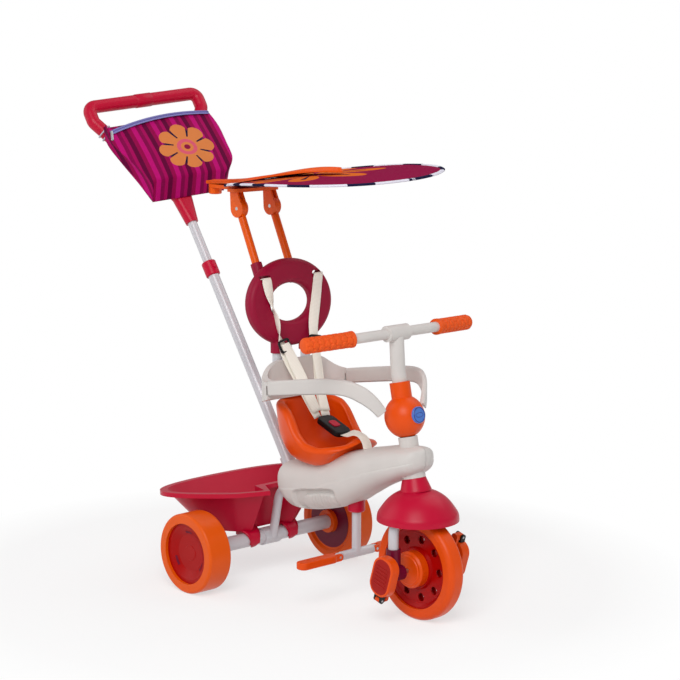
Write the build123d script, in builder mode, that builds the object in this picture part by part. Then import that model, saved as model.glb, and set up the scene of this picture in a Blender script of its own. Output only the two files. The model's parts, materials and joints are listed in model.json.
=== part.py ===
from build123d import *
import math
import os

# Children's tricycle, in millimetres. +X is forward, +Y is the rider's left and +Z is up.
# While it is drawn, the rear axle stands at X = 0 and the ground at Z = 0.

# ---------------------------------------------------------------- driving dimensions
clearance = 0.3             # between pieces that lie beside each other
running_gap = 0.05          # radial, shaft in hole

# rear wheels and axle
rear_wheel_radius = 90.0
rear_wheel_width = 61.5
rear_track_outer = 497.0    # over both rear wheels
rear_hub_radius = 68.4
rear_hub_recess = 7.3
rear_shoulder = 6.0
rear_web = 4.5
rear_web_set_in = 5.0
rear_boss_radius = 27.0
rear_boss_depth = 6.6
rear_hub_dish = 9.0
rear_hub_wall = 3.5
rear_hub_slots = 3
rear_slot_radius = 45.0
rear_slot_sweep = 32.0
rear_slot_width = 5.0
hub_button_radius = 17.0
axle_rod_radius = 5.0
axle_tube_radius = 16.5
axle_tube_wall = 2.5
push_nut_radius = 8.0
push_nut_length = 6.0
hub_sleeve_wall = 4.0

# front wheel, cranks and pedals
wheelbase = 488.4
front_wheel_radius = 112.65
front_wheel_width = 41.6
front_hub_radius = 87.4
front_hub_recess = 6.0
front_shoulder = 12.0
front_hub_wall = 3.5
front_hub_dish = 6.5
front_hub_holes = 9
front_hole_radius = 9.0
clutch_boss_radius = 39.5
clutch_boss_face = 39.0
crank_length = 55.0
crank_angle = 17.0          # from straight down, towards the rear
crank_thickness = 7.0
crank_width = 17.0
pedal_length = 82.0
pedal_width = 58.0
pedal_thickness = 22.0
pedal_gap = 1.5
pedal_lug_radius = 6.5
pedal_lug_width = 12.0
pedal_ear = 4.0
pedal_pin_radius = 2.5
pedal_spindle_radius = 4.0
tread_depth = 2.0
tread_margin = 5.0

# fork, head and handlebar
rake = 12.5                 # of the steering axis, top to the rear
fork_trail_offset = 10.4    # fork legs stand this far behind the axle
fork_half_width = 70.0
fork_tube_radius = 11.0
fork_tube_wall = 2.0
fork_leg_top = 190.0
fork_end_radius = 15.5
fork_end_top = 163.0
fork_end_outer = 84.0
fork_end_lug_radius = 16.0
steer_base_z = 277.0        # where the steering axis leaves the fender
steer_base_back = 14.4      # of that point, behind the front axle
fender_radius = 88.0
fender_rim_z = 215.0
fender_wall = 3.0
neck_top_radius = 25.5
neck_base_radius = 34.0
neck_height = 27.0
ring_height = 16.5
head_tube_radius = 20.75
head_tube_wall = 3.25
head_tube_top = 115.3       # along the steering axis
housing_radius = 43.3
housing_height = 92.0
housing_center = 158.8
housing_wall = 3.5
collar_radius = 22.0
collar_top = 232.5
badge_radius = 18.0
badge_proud = 1.5
stem_radius = 15.75
stem_bend = 254.0
bar_radius = 11.0
bar_x = 413.4
bar_z = 608.5
bar_straight = 97.0
bar_half_length = 240.0
bar_sweep_back = 9.4
bar_drop = 1.9
bar_bend_radius = 60.0
grip_radius = 16.0
grip_flange_radius = 17.6
grip_flange = 6.0
grip_length = 117.0
grip_end = 2.5

# main tube and body covers
main_tube_radius = 10.0
strut_foot_x = 14.0
strut_top_x = 38.0
strut_top_z = 203.0
main_tube_bend = 45.0
saddle_half_width = 24.0
saddle_wall = 3.5
body_half_width = 58.0
body_nose_radius = 47.0
body_rear_x = 75.0
body_wall = 2.6
screw_radius = 2.0
screw_head_radius = 4.0
screw_head = 2.5
screw_boss_radius = 6.0
body_belly_z = 180.0

# footrest
footrest_x = 286.0
footrest_post_radius = 10.0
footrest_arm_drop_x = 298.0
footrest_arm_z = 106.0
footrest_arm_radius = 10.0
peg_hinge_y = 56.0
peg_length = 106.0
peg_width = 30.0
peg_thickness = 16.0
peg_pin_radius = 3.0
peg_ear = 5.0
footrest_collar_radius = 19.0
footrest_collar_low = 199.0
footrest_collar_high = 236.0

# seat, surround and backrest
seat_half_width = 98.0
seat_rear_x = 76.0
seat_front_x = 324.0
seat_rim_z = 431.0
seat_floor_z = 297.0
seat_wall = 11.0
seat_pommel_z = 364.0
surround_thickness = 13.0
surround_half_width = 118.0
surround_corner = 48.0
surround_rear_x = 99.0
surround_top_z = 516.0
surround_crest = 46.0       # half width of its level top
arm_band = 36.0
arm_rise = 9.5
arm_hinge_x = 140.0
arm_hinge_z = 462.0
arm_straight_x = 345.0
arm_tip_x = 436.0
arm_tip_y = 53.0
arm_tip_z = 442.0
arm_pin_radius = 3.0
arm_ear = 8.0
back_center_x = 72.0
back_center_z = 640.0
back_width = 244.0
back_height = 195.0
back_hole_width = 122.0
back_hole_height = 85.0
back_thickness = 30.0
back_lean = 5.0
back_edge = 12.0
back_slot_y = 77.5
back_slot_z = 60.0
back_slot_width = 30.0
back_slot_height = 9.0
post_x = 80.0
post_y = 42.0
post_radius = 11.0
post_top_z = 552.0
post_socket_radius = 15.0
post_socket_z = 530.0

# harness
webbing_width = 25.0
webbing_thickness = 2.4
buckle_x = 219.0
buckle_z = 378.0
buckle_length = 76.0
buckle_width = 46.0
buckle_thickness = 13.0
buckle_pitch = 21.0
strap_top_x = 86.0
strap_bow = -24.0
slider_along = 0.47
slider_length = 24.0
slider_width = 34.0
slider_thickness = 7.0

# canopy
canopy_post_radius = 9.0
canopy_post_y = 49.0
canopy_foot_x = 17.7
canopy_foot_z = 724.6
canopy_pivot_x = -37.8
canopy_pivot_z = 844.2
canopy_socket_depth = 44.0
canopy_socket_radius = 13.0
knuckle_radius = 20.5
knuckle_width = 8.0
knuckle_ear = 4.5
hinge_pin_radius = 4.0
rail_z = 885.0
rail_thickness = 8.0
rail_half_width = 65.0
rail_rear_x = -196.0
arm_plate_thickness = 7.0
fabric_length = 599.0
fabric_width = 361.0
fabric_center_x = 167.5
fabric_center_z = 929.4
fabric_narrowing = 0.49
fabric_pitch = 4.6
fabric_roll = 3.6
fabric_bow = 15.3
fabric_thickness = 4.0
knob_radius = 15.0
knob_height = 16.0

# push pole, handle and bag
pole_lean = 33.06
pole_point_x = -199.9
pole_point_z = 688.4
lower_pole_radius = 13.0
upper_pole_radius = 11.0
pole_wall = 1.9
pole_collar_radius = 17.0
pole_collar_length = 36.0
button_radius = 5.0
pole_insert = 150.0
bar_height = 457.0          # of the handle's bar above the collar, along the pole
handle_turn = -10.0         # the handle stands turned about the pole
handle_half_width = 163.0
handle_tube_radius = 15.5
handle_side_drop = 40.0
handle_neck_top = 262.0
handle_neck_bottom = 334.0
handle_neck_half_width = 26.0
handle_socket_radius = 15.0
bag_top_half_width = 138.0
bag_mid_half_width = 147.0
bag_sag_half_width = 140.0   # the left side of the bag sags outward
bag_sag_drop = 222.0
bag_bottom_half_width = 94.0
bag_top_drop = 64.0
bag_bottom_drop = 276.0
bag_top_depth = 18.0
bag_bottom_depth = 42.0
bag_gap = 0.5

# rear bucket
bucket_rim_z = 214.0
bucket_rim_rise = 3.4
bucket_floor_z = 112.0
bucket_wall = 3.0
bucket_lip = 13.0
bucket_lip_drop = 10.0
bucket_clip_y = 58.0
bucket_clip_width = 26.0
bucket_clip_wall = 4.5

# ---------------------------------------------------------------- places worked out from them
front_axle = Vector(wheelbase, 0, front_wheel_radius)
rear_axle = Vector(0, 0, rear_wheel_radius)
rake_sine = math.sin(math.radians(rake))
rake_cosine = math.cos(math.radians(rake))
steer_axis = Vector(-rake_sine, 0, rake_cosine)
steer_base = Vector(wheelbase - steer_base_back, 0, steer_base_z)
pole_axis = Vector(-math.sin(math.radians(pole_lean)), 0, math.cos(math.radians(pole_lean)))
pole_point = Vector(pole_point_x, 0, pole_point_z)
pieces = []


def finish(part, name):
    """Keep a finished piece under its name."""
    part.label = name
    pieces.append(part)


def side_name(stem, side):
    return stem + ("_r" if side < 0 else "_l")


def turned_plane(center, side=1):
    """Plane for a half profile turned about a line along Y: x outward, y radius."""
    return Plane(origin=center, x_dir=(0, side, 0), z_dir=(side, 0, 0))


def facing_plane(center, out, side, along=(1, 0, 0)):
    """Plane square to Y at a distance out from the middle, facing outward."""
    origin = Vector(center.X, side * out, center.Z)
    return Plane(origin=origin, x_dir=along, z_dir=(0, side, 0))


def steer_plane(height):
    """Plane square to the steering axis at a height along it."""
    return Plane(origin=steer_base + steer_axis * height, x_dir=(rake_cosine, 0, rake_sine),
                 z_dir=steer_axis)


def steer_section():
    """Plane of a half profile turned about the steering axis: x radius, y height."""
    return Plane(origin=steer_base, x_dir=(rake_cosine, 0, rake_sine), z_dir=(0, -1, 0))


def pole_plane(height):
    """Plane square to the push pole at a height above its collar."""
    return Plane(origin=pole_point + pole_axis * height, x_dir=(0, 1, 0), z_dir=pole_axis)


def axis_y(center):
    return Axis(center, (0, 1, 0))


def rod(start, end, radius, inner=0.0):
    """Straight round bar or tube between two points."""
    start = Vector(*start)
    end = Vector(*end)
    with BuildPart() as bar:
        with BuildSketch(Plane(origin=start, z_dir=end - start)):
            Circle(radius)
            if inner > 0:
                Circle(inner, mode=Mode.SUBTRACT)
        extrude(amount=(end - start).length)
    return bar.part


# ---------------------------------------------------------------- rear wheels and axle
rear_outer_y = rear_track_outer / 2
rear_inner_y = rear_outer_y - rear_wheel_width
rear_boss_y = rear_inner_y - rear_boss_depth
axle_tube_end = rear_boss_y - clearance
rear_bore = axle_rod_radius + running_gap
rear_web_y = rear_inner_y + rear_web_set_in
hub_face_y = rear_outer_y - rear_hub_recess
hub_dish_y = hub_face_y - rear_hub_dish
nut_inner_y = hub_dish_y - rear_hub_wall - push_nut_length - 2 * clearance
rod_end_y = nut_inner_y + push_nut_length
sleeve_bore = push_nut_radius + clearance


def rear_wheel(side):
    with BuildPart() as wheel:
        with BuildSketch(turned_plane(rear_axle, side)) as half:
            with BuildLine():
                Polyline((rear_boss_y, rear_bore), (rear_boss_y, rear_boss_radius),
                         (rear_web_y, rear_boss_radius), (rear_web_y, rear_hub_radius),
                         (rear_inner_y, rear_hub_radius + rear_web_set_in),
                         (rear_inner_y, rear_wheel_radius), (rear_outer_y, rear_wheel_radius),
                         (rear_outer_y, rear_hub_radius), (rear_web_y + rear_web, rear_hub_radius),
                         (rear_web_y + rear_web, rear_bore), close=True)
            make_face()
            fillet(half.vertices().sort_by(Axis.Y)[-2:], rear_shoulder)
        revolve(axis=axis_y(rear_axle))
    return wheel.part


def rear_hub(side):
    """Dished cover with a sleeve on the rod; its middle closes over the push nut."""
    back_y = rear_web_y + rear_web
    with BuildPart() as hub:
        with BuildSketch(turned_plane(rear_axle, side)):
            with BuildLine():
                Polyline((back_y, rear_bore), (nut_inner_y - clearance, rear_bore),
                         (nut_inner_y - clearance, sleeve_bore),
                         (hub_dish_y - rear_hub_wall, sleeve_bore), (hub_dish_y - rear_hub_wall, 0),
                         (hub_dish_y + 1, 0), (hub_dish_y + 1, hub_button_radius),
                         (hub_dish_y, hub_button_radius + 1),
                         (hub_dish_y, rear_hub_radius - 3 * rear_hub_dish),
                         (hub_face_y, rear_hub_radius - rear_hub_dish), (hub_face_y, rear_hub_radius),
                         (back_y, rear_hub_radius), (back_y, rear_hub_radius - rear_hub_wall),
                         (hub_face_y - rear_hub_wall, rear_hub_radius - rear_hub_dish),
                         (hub_dish_y - rear_hub_wall, rear_hub_radius - 3 * rear_hub_dish),
                         (hub_dish_y - rear_hub_wall, sleeve_bore + hub_sleeve_wall),
                         (back_y, sleeve_bore + hub_sleeve_wall), close=True)
            make_face()
        revolve(axis=axis_y(rear_axle))
        with BuildSketch(facing_plane(rear_axle, hub_dish_y, side)):
            with PolarLocations(0, rear_hub_slots):
                slot_line = CenterArc((0, 0), rear_slot_radius, 0, rear_slot_sweep, mode=Mode.PRIVATE)
                SlotArc(slot_line, rear_slot_width)
        extrude(amount=rear_hub_wall, both=True, mode=Mode.SUBTRACT)
    return hub.part


for side in (-1, 1):
    finish(rear_wheel(side), side_name("rear_wheel", side))
    finish(rear_hub(side), side_name("rear_hub", side))

with BuildPart() as rear_axle_rod:
    with BuildSketch(Plane.XZ.offset(-rod_end_y) * Location((0, rear_wheel_radius, 0))):
        Circle(axle_rod_radius)
    extrude(amount=2 * rod_end_y)
finish(rear_axle_rod.part, "rear_axle_rod")

with BuildPart() as axle_nuts:
    for side in (-1, 1):
        with BuildSketch(facing_plane(rear_axle, nut_inner_y, side)):
            RegularPolygon(push_nut_radius, 6)
            Circle(axle_rod_radius, mode=Mode.SUBTRACT)
        extrude(amount=push_nut_length)
finish(axle_nuts.part, "axle_nuts")

with BuildPart() as rear_axle_tube:
    with BuildSketch(Plane.XZ.offset(-axle_tube_end) * Location((0, rear_wheel_radius, 0))):
        Circle(axle_tube_radius)
        Circle(axle_tube_radius - axle_tube_wall, mode=Mode.SUBTRACT)
    extrude(amount=2 * axle_tube_end)
finish(rear_axle_tube.part, "rear_axle_tube")

with BuildPart() as axle_bushes:
    for side in (-1, 1):
        with BuildSketch(facing_plane(rear_axle, axle_tube_end, side)):
            Circle(axle_tube_radius - axle_tube_wall)
            Circle(axle_rod_radius, mode=Mode.SUBTRACT)
        extrude(amount=-2 * axle_rod_radius)

# ---------------------------------------------------------------- front wheel and cranks
front_half = front_wheel_width / 2
front_hub_face = front_half - front_hub_recess
front_bore = axle_rod_radius

with BuildPart() as front_tyre:
    with BuildSketch(turned_plane(front_axle)) as half:
        with BuildLine():
            Polyline((-front_half, front_hub_radius), (-front_half, front_wheel_radius),
                     (front_half, front_wheel_radius), (front_half, front_hub_radius), close=True)
        make_face()
        fillet(half.vertices().sort_by(Axis.Y)[-2:], front_shoulder)
    revolve(axis=axis_y(front_axle))
finish(front_tyre.part, "front_tyre")

with BuildPart() as front_hub_halves:
    for side in (-1, 1):
        with BuildSketch(turned_plane(front_axle, side)):
            with BuildLine():
                Polyline((running_gap, front_bore), (front_hub_face, front_bore),
                         (front_hub_face, clutch_boss_radius + front_hub_wall),
                         (front_hub_face - front_hub_dish, clutch_boss_radius + 2 * front_hub_wall),
                         (front_hub_face - front_hub_dish, front_hub_radius - 3 * front_hub_wall),
                         (front_hub_face, front_hub_radius - front_hub_wall),
                         (front_hub_face, front_hub_radius), (running_gap, front_hub_radius),
                         (running_gap, front_hub_radius - front_hub_wall),
                         (front_hub_face - front_hub_dish - front_hub_wall,
                          front_hub_radius - 3 * front_hub_wall),
                         (front_hub_face - front_hub_dish - front_hub_wall,
                          clutch_boss_radius + front_hub_wall),
                         (running_gap, clutch_boss_radius), close=True)
            make_face()
        revolve(axis=axis_y(front_axle))
        hole_ring = (clutch_boss_radius + front_hub_radius) / 2
        with BuildSketch(facing_plane(front_axle, 0, side)):
            with PolarLocations(hole_ring, front_hub_holes):
                Circle(front_hole_radius)
        extrude(amount=front_hub_face, mode=Mode.SUBTRACT)
finish(front_hub_halves.part, "front_hub_halves")

crank_inner = fork_end_outer + 3.0
crank_outer = crank_inner + crank_thickness

with BuildPart() as crank_spindle:
    with BuildSketch(Plane.XZ.offset(-crank_outer) * Location((wheelbase, front_wheel_radius, 0))):
        Circle(axle_rod_radius)
    extrude(amount=2 * crank_outer)
finish(crank_spindle.part, "crank_spindle")

with BuildPart() as clutch_bosses:
    boss_round = 4.0
    for side in (-1, 1):
        with BuildSketch(turned_plane(front_axle, side)):
            with BuildLine():
                Polyline((front_hub_face, front_bore), (clutch_boss_face, front_bore),
                         (clutch_boss_face, clutch_boss_radius - 2.5 * boss_round),
                         (clutch_boss_face - boss_round / 2, clutch_boss_radius - 2 * boss_round),
                         (clutch_boss_face - boss_round / 2, clutch_boss_radius - boss_round),
                         (clutch_boss_face - 1.5 * boss_round, clutch_boss_radius),
                         (front_hub_face, clutch_boss_radius), close=True)
            make_face()
        revolve(axis=axis_y(front_axle))
finish(clutch_bosses.part, "clutch_bosses")


def crank_way(side):
    """Direction of a crank: the right one hangs down, the left one stands up."""
    angle = math.radians(crank_angle)
    return Vector(side * math.sin(angle), 0, side * math.cos(angle))


pedal_inner = crank_outer + pedal_gap
pedal_outer = pedal_inner + pedal_thickness
pedal_mid = (pedal_inner + pedal_outer) / 2


def crank_plane(side, out):
    return facing_plane(front_axle, out, side, crank_way(side))


def hinge_line(side):
    """Start and direction of the line about which a pedal folds."""
    way = crank_way(side)
    start = front_axle + way * crank_length + Vector(0, side * pedal_mid, 0)
    return start, way.cross(Vector(0, 1, 0))


with BuildPart() as cranks:
    for side in (-1, 1):
        with BuildSketch(crank_plane(side, crank_inner)):
            with Locations((crank_length / 2, 0)):
                SlotCenterToCenter(crank_length, crank_width)
            Circle(front_bore, mode=Mode.SUBTRACT)
        extrude(amount=crank_thickness)
        with BuildSketch(crank_plane(side, crank_outer)):
            with Locations((crank_length, 0)):
                Rectangle(2 * pedal_lug_radius, pedal_lug_width)
        extrude(amount=pedal_mid - crank_outer)
        start, line = hinge_line(side)
        with BuildSketch(Plane(origin=start, z_dir=line)):
            Circle(pedal_lug_radius)
        extrude(amount=pedal_lug_width / 2, both=True)
        with BuildSketch(Plane(origin=start, z_dir=line)):
            Circle(pedal_pin_radius)
        extrude(amount=pedal_lug_width, both=True, mode=Mode.SUBTRACT)
finish(cranks.part, "cranks")

ear_out = pedal_lug_width / 2 + clearance
ear_end = ear_out + pedal_ear
with BuildPart() as pedal_hinge_pins:
    for side in (-1, 1):
        start, line = hinge_line(side)
        with BuildSketch(Plane(origin=start, z_dir=line)):
            Circle(pedal_pin_radius)
        extrude(amount=ear_end, both=True)
finish(pedal_hinge_pins.part, "pedal_hinge_pins")

fork_bridge_end = crank_length - pedal_lug_radius - 2 * clearance
fork_bridge_start = fork_bridge_end - pedal_ear


def pedal_fork(side):
    """Two ears on the crank's lug, a bridge and the spindle that runs into the pedal."""
    start, line = hinge_line(side)
    with BuildPart() as fork:
        for ear in (-1, 1):
            with BuildSketch(Plane(origin=start + line * (ear * ear_out), z_dir=line * ear)):
                Circle(pedal_lug_radius)
            extrude(amount=pedal_ear)
            with BuildSketch(crank_plane(side, pedal_mid)):
                with Locations(((fork_bridge_start + crank_length) / 2, ear * (ear_out + pedal_ear / 2))):
                    Rectangle(crank_length - fork_bridge_start, pedal_ear)
            extrude(amount=pedal_lug_radius, both=True)
        with BuildSketch(crank_plane(side, pedal_mid)):
            with Locations(((fork_bridge_start + fork_bridge_end) / 2, 0)):
                Rectangle(pedal_ear, 2 * ear_end)
        extrude(amount=pedal_lug_radius, both=True)
        way = crank_way(side)
        with BuildSketch(Plane(origin=front_axle + way * fork_bridge_end + Vector(0, side * pedal_mid, 0),
                               z_dir=way * -1)):
            Circle(pedal_spindle_radius)
        extrude(amount=fork_bridge_end + pedal_length / 2 - 2 * pedal_ear)
        with BuildSketch(Plane(origin=start, z_dir=line)):
            Circle(pedal_pin_radius + running_gap)
        extrude(amount=2 * ear_end, both=True, mode=Mode.SUBTRACT)
    return fork.part


def pedal(side):
    """Oval block with a bore along it for the spindle and a shallow seat for the tread."""
    with BuildPart() as block:
        with BuildSketch(crank_plane(side, pedal_inner)):
            RectangleRounded(2 * fork_bridge_start - 2 * clearance, pedal_width, pedal_width * 0.45)
        extrude(amount=pedal_thickness)
        fillet(block.faces().filter_by(Plane.XZ).edges(), tread_depth)
        with BuildSketch(crank_plane(side, pedal_outer)):
            RectangleRounded(2 * fork_bridge_start - 2 * clearance - 2 * tread_margin,
                             pedal_width - 2 * tread_margin, pedal_width * 0.45 - tread_margin)
        extrude(amount=-tread_depth, mode=Mode.SUBTRACT)
        way = crank_way(side)
        with BuildSketch(Plane(origin=front_axle + way * fork_bridge_end + Vector(0, side * pedal_mid, 0),
                               z_dir=way * -1)):
            Circle(pedal_spindle_radius)
        extrude(amount=fork_bridge_end + pedal_length / 2 - 2 * pedal_ear, mode=Mode.SUBTRACT)
    return block.part


def pedal_tread(side):
    """Rubber pad with grip bars across it."""
    pad_length = 2 * fork_bridge_start - 2 * clearance - 2 * tread_margin
    bar_pitch = 8.0
    with BuildPart() as pad:
        with BuildSketch(crank_plane(side, pedal_outer - tread_depth)):
            RectangleRounded(pad_length, pedal_width - 2 * tread_margin, pedal_width * 0.45 - tread_margin)
        extrude(amount=tread_depth)
        with BuildSketch(crank_plane(side, pedal_outer)):
            with GridLocations(bar_pitch, 0, int(pad_length / bar_pitch) - 3, 1):
                Rectangle(bar_pitch / 2, pedal_width - 5 * tread_margin)
        extrude(amount=tread_depth / 2)
    return pad.part


for side in (-1, 1):
    finish(pedal_fork(side), side_name("pedal_fork", side))
    finish(pedal(side), side_name("pedal", side))
    finish(pedal_tread(side), side_name("pedal_tread", side))

# ---------------------------------------------------------------- fork, fender and head
fork_x = wheelbase - fork_trail_offset
fork_leg_bottom = front_wheel_radius + axle_rod_radius + 3.0
fork_crown = Vector(fork_x, 0, fork_leg_top)
steerer_top = 245.0
crown_height = fork_leg_top + fork_half_width

with BuildPart() as fork_tube:
    for side in (-1, 1):
        with BuildSketch(Plane.XY.offset(fork_leg_bottom) * Location((fork_x, side * fork_half_width, 0))):
            Circle(fork_tube_radius)
            Circle(fork_tube_radius - fork_tube_wall, mode=Mode.SUBTRACT)
        extrude(amount=fork_leg_top - fork_leg_bottom)
    with BuildSketch(Plane.XY.offset(fork_leg_top) * Location((fork_x, fork_half_width, 0))):
        Circle(fork_tube_radius)
        Circle(fork_tube_radius - fork_tube_wall, mode=Mode.SUBTRACT)
    revolve(axis=Axis(fork_crown, (1, 0, 0)), revolution_arc=180)
    steerer_foot = (crown_height - steer_base_z) / rake_cosine
    with BuildSketch(steer_plane(steerer_foot)):
        Circle(fork_tube_radius)
    extrude(amount=steerer_top - steerer_foot)
finish(fork_tube.part, "fork_tube")


def fork_lug(side):
    """Moulded foot of a fork leg, which carries the crank spindle."""
    inner = 2 * fork_half_width - fork_end_outer
    with BuildPart() as lug:
        with BuildSketch(Plane.XY.offset(fork_leg_bottom - fork_end_radius) *
                         Location((fork_x, side * fork_half_width, 0))):
            Circle(fork_end_radius)
        extrude(amount=fork_end_top - fork_leg_bottom + fork_end_radius)
        with BuildSketch(facing_plane(front_axle, inner, side)):
            Circle(fork_end_lug_radius)
        extrude(amount=fork_end_outer - inner)
        with BuildSketch(facing_plane(front_axle, fork_end_outer, side)):
            Rectangle(6 * fork_end_radius, 6 * fork_end_radius)
        extrude(amount=fork_end_radius, mode=Mode.SUBTRACT)
        with BuildSketch(Plane.XY.offset(fork_leg_bottom) * Location((fork_x, side * fork_half_width, 0))):
            Circle(fork_tube_radius)
        extrude(amount=fork_end_top, mode=Mode.SUBTRACT)
        with BuildSketch(facing_plane(front_axle, 0, side)):
            Circle(axle_rod_radius + running_gap)
        extrude(amount=2 * fork_end_outer, mode=Mode.SUBTRACT)
    return lug.part


with BuildPart() as fork_ends:
    for side in (-1, 1):
        add(fork_lug(side))
finish(fork_ends.part, "fork_ends")

# the fender is a bell about an upright line through the crown, with a raked neck
fender_x = fork_x + 3.0
fender_shoulder = Vector(fender_x, 0, 0)
bell_top = steer_base_z + 1.0
bell_low = fender_rim_z
with BuildPart() as fender:
    with BuildSketch(Plane(origin=fender_shoulder, x_dir=(1, 0, 0), z_dir=(0, -1, 0))):
        with BuildLine():
            outer = Spline((0, bell_top + 4), (fender_radius * 0.44, bell_top - 2),
                           (fender_radius * 0.77, bell_top - 22), (fender_radius * 0.94, bell_top - 42),
                           (fender_radius, bell_low), tangents=((1, 0), (0, -1)))
            inner = Spline((0, bell_top + 4 - fender_wall),
                           (fender_radius * 0.44 - fender_wall / 2, bell_top - 2 - fender_wall),
                           (fender_radius * 0.77 - fender_wall, bell_top - 22 - fender_wall / 2),
                           (fender_radius * 0.94 - fender_wall, bell_top - 42),
                           (fender_radius - fender_wall, bell_low), tangents=((1, 0), (0, -1)))
            Line(outer @ 0, inner @ 0)
            Line(outer @ 1, inner @ 1)
        make_face()
    revolve(axis=Axis(fender_shoulder, (0, 0, 1)))
    with BuildSketch(steer_section()):
        with BuildLine():
            Polyline((0, -3), (neck_base_radius, -3), (neck_base_radius, 0),
                     (neck_top_radius, neck_height), (0, neck_height), close=True)
        make_face()
    revolve(axis=Axis(steer_base, steer_axis))
    with BuildSketch(steer_plane(steerer_foot - fork_tube_radius)):
        Circle(fork_tube_radius)
    extrude(amount=steerer_top, mode=Mode.SUBTRACT)
    with BuildSketch(Plane.XY.offset(fork_leg_top) * Location((fork_x, fork_half_width, 0))):
        Circle(fork_tube_radius)
    revolve(axis=Axis(fork_crown, (1, 0, 0)), revolution_arc=180, mode=Mode.SUBTRACT)
finish(fender.part, "fender")

cup_base = neck_height + clearance
head_base = cup_base + ring_height
head_bore = head_tube_radius - head_tube_wall
with BuildPart() as head_tube:
    with BuildSketch(steer_plane(head_base)):
        Circle(head_tube_radius)
        Circle(head_bore, mode=Mode.SUBTRACT)
    extrude(amount=head_tube_top - head_base)
    with BuildSketch(steer_plane(cup_base)):
        Circle(neck_top_radius)
        Circle(head_bore, mode=Mode.SUBTRACT)
    extrude(amount=ring_height)
finish(head_tube.part, "head_tube")

bush_length = 12.0
with BuildPart() as head_bushes:
    for base in (cup_base, head_tube_top - bush_length):
        with BuildSketch(steer_plane(base)):
            Circle(head_bore)
            Circle(fork_tube_radius + running_gap, mode=Mode.SUBTRACT)
        extrude(amount=bush_length)
with BuildPart() as frame_bushes:
    add(axle_bushes.part)
    add(head_bushes.part)
finish(frame_bushes.part, "frame_bushes")

housing_low = head_tube_top + clearance
housing_high = housing_center + housing_height / 2
with BuildPart() as steering_housing:
    with BuildSketch(steer_section()):
        with Locations((0, housing_center)):
            Ellipse(housing_radius, housing_height / 2)
            Ellipse(housing_radius - housing_wall, housing_height / 2 - housing_wall, mode=Mode.SUBTRACT)
        with Locations((collar_radius / 2, (housing_high - 3 * housing_wall + collar_top) / 2)):
            Rectangle(collar_radius, collar_top - housing_high + 3 * housing_wall)
        sleeve = fork_tube_radius + housing_wall
        with Locations((sleeve / 2, (housing_low + collar_top) / 2)):
            Rectangle(sleeve, collar_top - housing_low)
        with Locations((fork_tube_radius / 2, housing_center)):
            Rectangle(fork_tube_radius, 2 * housing_height, mode=Mode.SUBTRACT)
        with Locations((-housing_radius, housing_center)):
            Rectangle(2 * housing_radius, 2 * housing_height, mode=Mode.SUBTRACT)
        with Locations((0, housing_low - housing_height)):
            Rectangle(4 * housing_radius, 2 * housing_height, mode=Mode.SUBTRACT)
    revolve(axis=Axis(steer_base, steer_axis))
finish(steering_housing.part, "steering_housing")

badge_front = housing_radius + badge_proud
badge_plane = Plane(origin=steer_base + steer_axis * housing_center, x_dir=(0, 1, 0),
                    z_dir=(rake_cosine, 0, rake_sine))
with BuildPart() as steering_badge:
    with BuildSketch(badge_plane.offset(badge_front - badge_radius)):
        Circle(badge_radius)
    extrude(amount=badge_radius)
    fillet(steering_badge.edges().group_by(Axis.X)[-1], badge_proud)
    with BuildSketch(steer_section()):
        with Locations((0, housing_center)):
            Ellipse(housing_radius, housing_height / 2)
        with Locations((-housing_radius, housing_center)):
            Rectangle(2 * housing_radius, 2 * housing_height, mode=Mode.SUBTRACT)
    revolve(axis=Axis(steer_base, steer_axis), mode=Mode.SUBTRACT)
finish(steering_badge.part, "steering_badge")

# ---------------------------------------------------------------- stem, handlebar and grips
stem_knee = steer_base + steer_axis * stem_bend
bar_center = Vector(bar_x, 0, bar_z)
tee_radius = stem_radius + 1.5
tee_half_width = 30.0

with BuildPart() as stem:
    with BuildSketch(steer_plane(collar_top)):
        Circle(stem_radius)
    extrude(amount=stem_bend - collar_top)
    with Locations(Location(stem_knee)):
        Sphere(stem_radius)
    add(rod(stem_knee, bar_center, stem_radius))
    add(rod(bar_center - Vector(0, tee_half_width, 0), bar_center + Vector(0, tee_half_width, 0), tee_radius))
    add(rod(bar_center - Vector(0, bar_straight, 0), bar_center + Vector(0, bar_straight, 0), bar_radius),
        mode=Mode.SUBTRACT)
    with BuildSketch(steer_plane(0)):
        Circle(fork_tube_radius)
    extrude(amount=steerer_top, mode=Mode.SUBTRACT)
finish(stem.part, "stem")

sweep_back = math.radians(bar_sweep_back)
drop = math.radians(bar_drop)
bar_run = (bar_half_length - bar_straight) / math.cos(sweep_back)
bar_back = Vector(-math.sin(sweep_back) * bar_run, 0, -math.tan(drop) * bar_run)


def bar_point(out, side):
    """Point of the handlebar's middle line, at its bend or at its tip."""
    point = bar_center + Vector(0, side * out, 0)
    return point if out <= bar_straight else point + bar_back


with BuildPart() as handlebar:
    with BuildLine() as bar_path:
        FilletPolyline(bar_point(bar_half_length, -1), bar_point(bar_straight, -1),
                       bar_point(bar_straight, 1), bar_point(bar_half_length, 1), radius=bar_bend_radius)
    with BuildSketch(Plane(origin=bar_path.line @ 0, z_dir=bar_path.line % 0)):
        Circle(bar_radius)
    sweep(path=bar_path.line)
finish(handlebar.part, "handlebar")

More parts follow.
